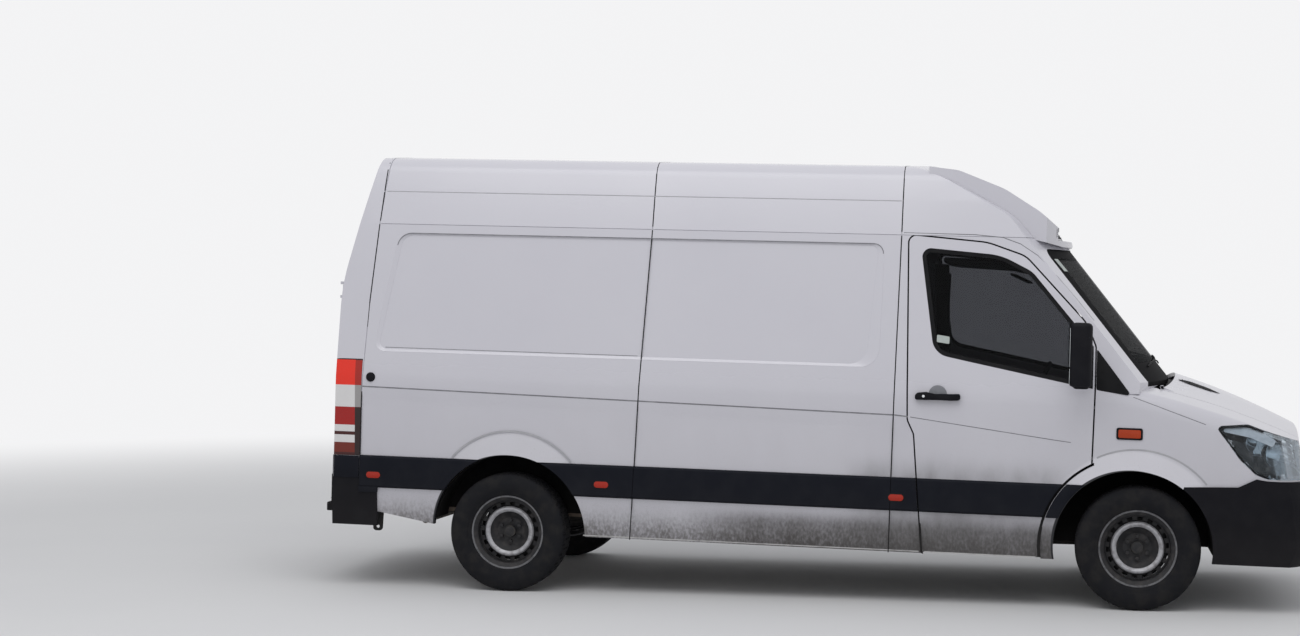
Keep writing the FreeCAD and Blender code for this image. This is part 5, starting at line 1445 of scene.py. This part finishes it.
# Eye in the level frame, its turn and roll in degrees, focal length and horizon in pixels of the picture
EYE = (3.2089, -13.5755, 1.8495)
EYE_TURN = 10.5515
EYE_ROLL = 0.2757
FOCAL = 2184.22
FRAME_W = 1300
HORIZON_DROP = 37
SENSOR = 36
BACKGROUND = (0.90, 0.90, 0.91)
SKY = (0.97, 0.98, 1.0)
SKY_STRENGTH = 0.74
# Squares of the distances between which the floor fades into the background
FADE = (28, 190)


def camera():
    """The camera opposite the cab, turned a little towards the tail."""
    lens = bpy.data.cameras.new("camera")
    lens.sensor_width = SENSOR
    lens.lens = FOCAL / FRAME_W * SENSOR
    lens.shift_y = -HORIZON_DROP / FRAME_W
    eye = bpy.data.objects.new("camera", lens)
    place = Matrix.Translation(Vector(EYE) + Vector((REAR_X, 0, 0)))
    for turn, axis in ((math.radians(EYE_TURN), "Z"), (math.pi / 2, "X"), (math.radians(EYE_ROLL), "Z")):
        place = place @ Matrix.Rotation(turn, 4, axis)
    eye.matrix_world = place
    bpy.context.collection.objects.link(eye)
    bpy.context.scene.camera = eye


def sky():
    """Soft even light from all round, and a pale background where it is seen."""
    world = bpy.data.worlds.new("sky")
    bpy.context.scene.world = world
    world.use_nodes = True
    tree = world.node_tree
    light = tree.nodes["Background"]
    light.inputs["Color"].default_value = (*SKY, 1)
    light.inputs["Strength"].default_value = SKY_STRENGTH
    back = tree.nodes.new("ShaderNodeBackground")
    back.inputs["Color"].default_value = (*BACKGROUND, 1)
    mixed = tree.nodes.new("ShaderNodeMixShader")
    rays = tree.nodes.new("ShaderNodeLightPath")
    seen = rays.outputs["Is Camera Ray"]
    for kind in ("Is Glossy Ray", "Is Transmission Ray"):
        either = tree.nodes.new("ShaderNodeMath")
        either.use_clamp = True
        tree.links.new(seen, either.inputs[0])
        tree.links.new(rays.outputs[kind], either.inputs[1])
        seen = either.outputs[0]
    for i, part in enumerate((seen, light.outputs[0], back.outputs[0])):
        tree.links.new(part, mixed.inputs[i])
    tree.links.new(mixed.outputs[0], tree.nodes["World Output"].inputs["Surface"])


def soft_box():
    """One broad light overhead, on the camera's side."""
    lamp = bpy.data.lights.new("soft_box", "AREA")
    lamp.shape = "RECTANGLE"
    lamp.size = 9
    lamp.size_y = 6
    lamp.energy = 360
    holder = bpy.data.objects.new("soft_box", lamp)
    holder.location = (-0.5, -6.0, 9.0)
    holder.rotation_euler = (math.radians(34), 0, 0)
    bpy.context.collection.objects.link(holder)


def ground():
    """Pale floor that fades into the background."""
    only()
    bpy.ops.mesh.primitive_plane_add(size=120, location=(0, 0, 0))
    floor = bpy.context.object
    floor.name = "floor"
    look = Finish("floor_pale", roughness=0.9)
    look.made(look.mix(look.noise(0.6, 3), (0.60, 0.60, 0.61), (0.64, 0.64, 0.645)), 0.9)
    away = look.x * look.x + look.y * look.y
    rays = look.node("LightPath")
    seen = rays.out("Is Camera Ray") + rays.out("Is Glossy Ray") + rays.out("Is Transmission Ray")
    pale = look.node("Emission", {}, {"Color": BACKGROUND}).out()
    faded = look.blend(away.step(*FADE) * seen.under(1.0), look.shown(), pale)
    floor.data.materials.append(look.surface(faded))


for make in (dress_frame, wheels, window_seals, headlamps, panel_lines, recess_edges, gap_seals, arch_trims,
             rear_liners, corner_covers, handles, side_cap, sliding_door_grip, stickers, mirrors, wipers,
             side_lamps, bonnet_details, fairing_details, front_details, rear_details, seats, cab_details,
             camera, sky, soft_box, ground):
    make()
bpy.context.scene.view_settings.view_transform = "Standard"
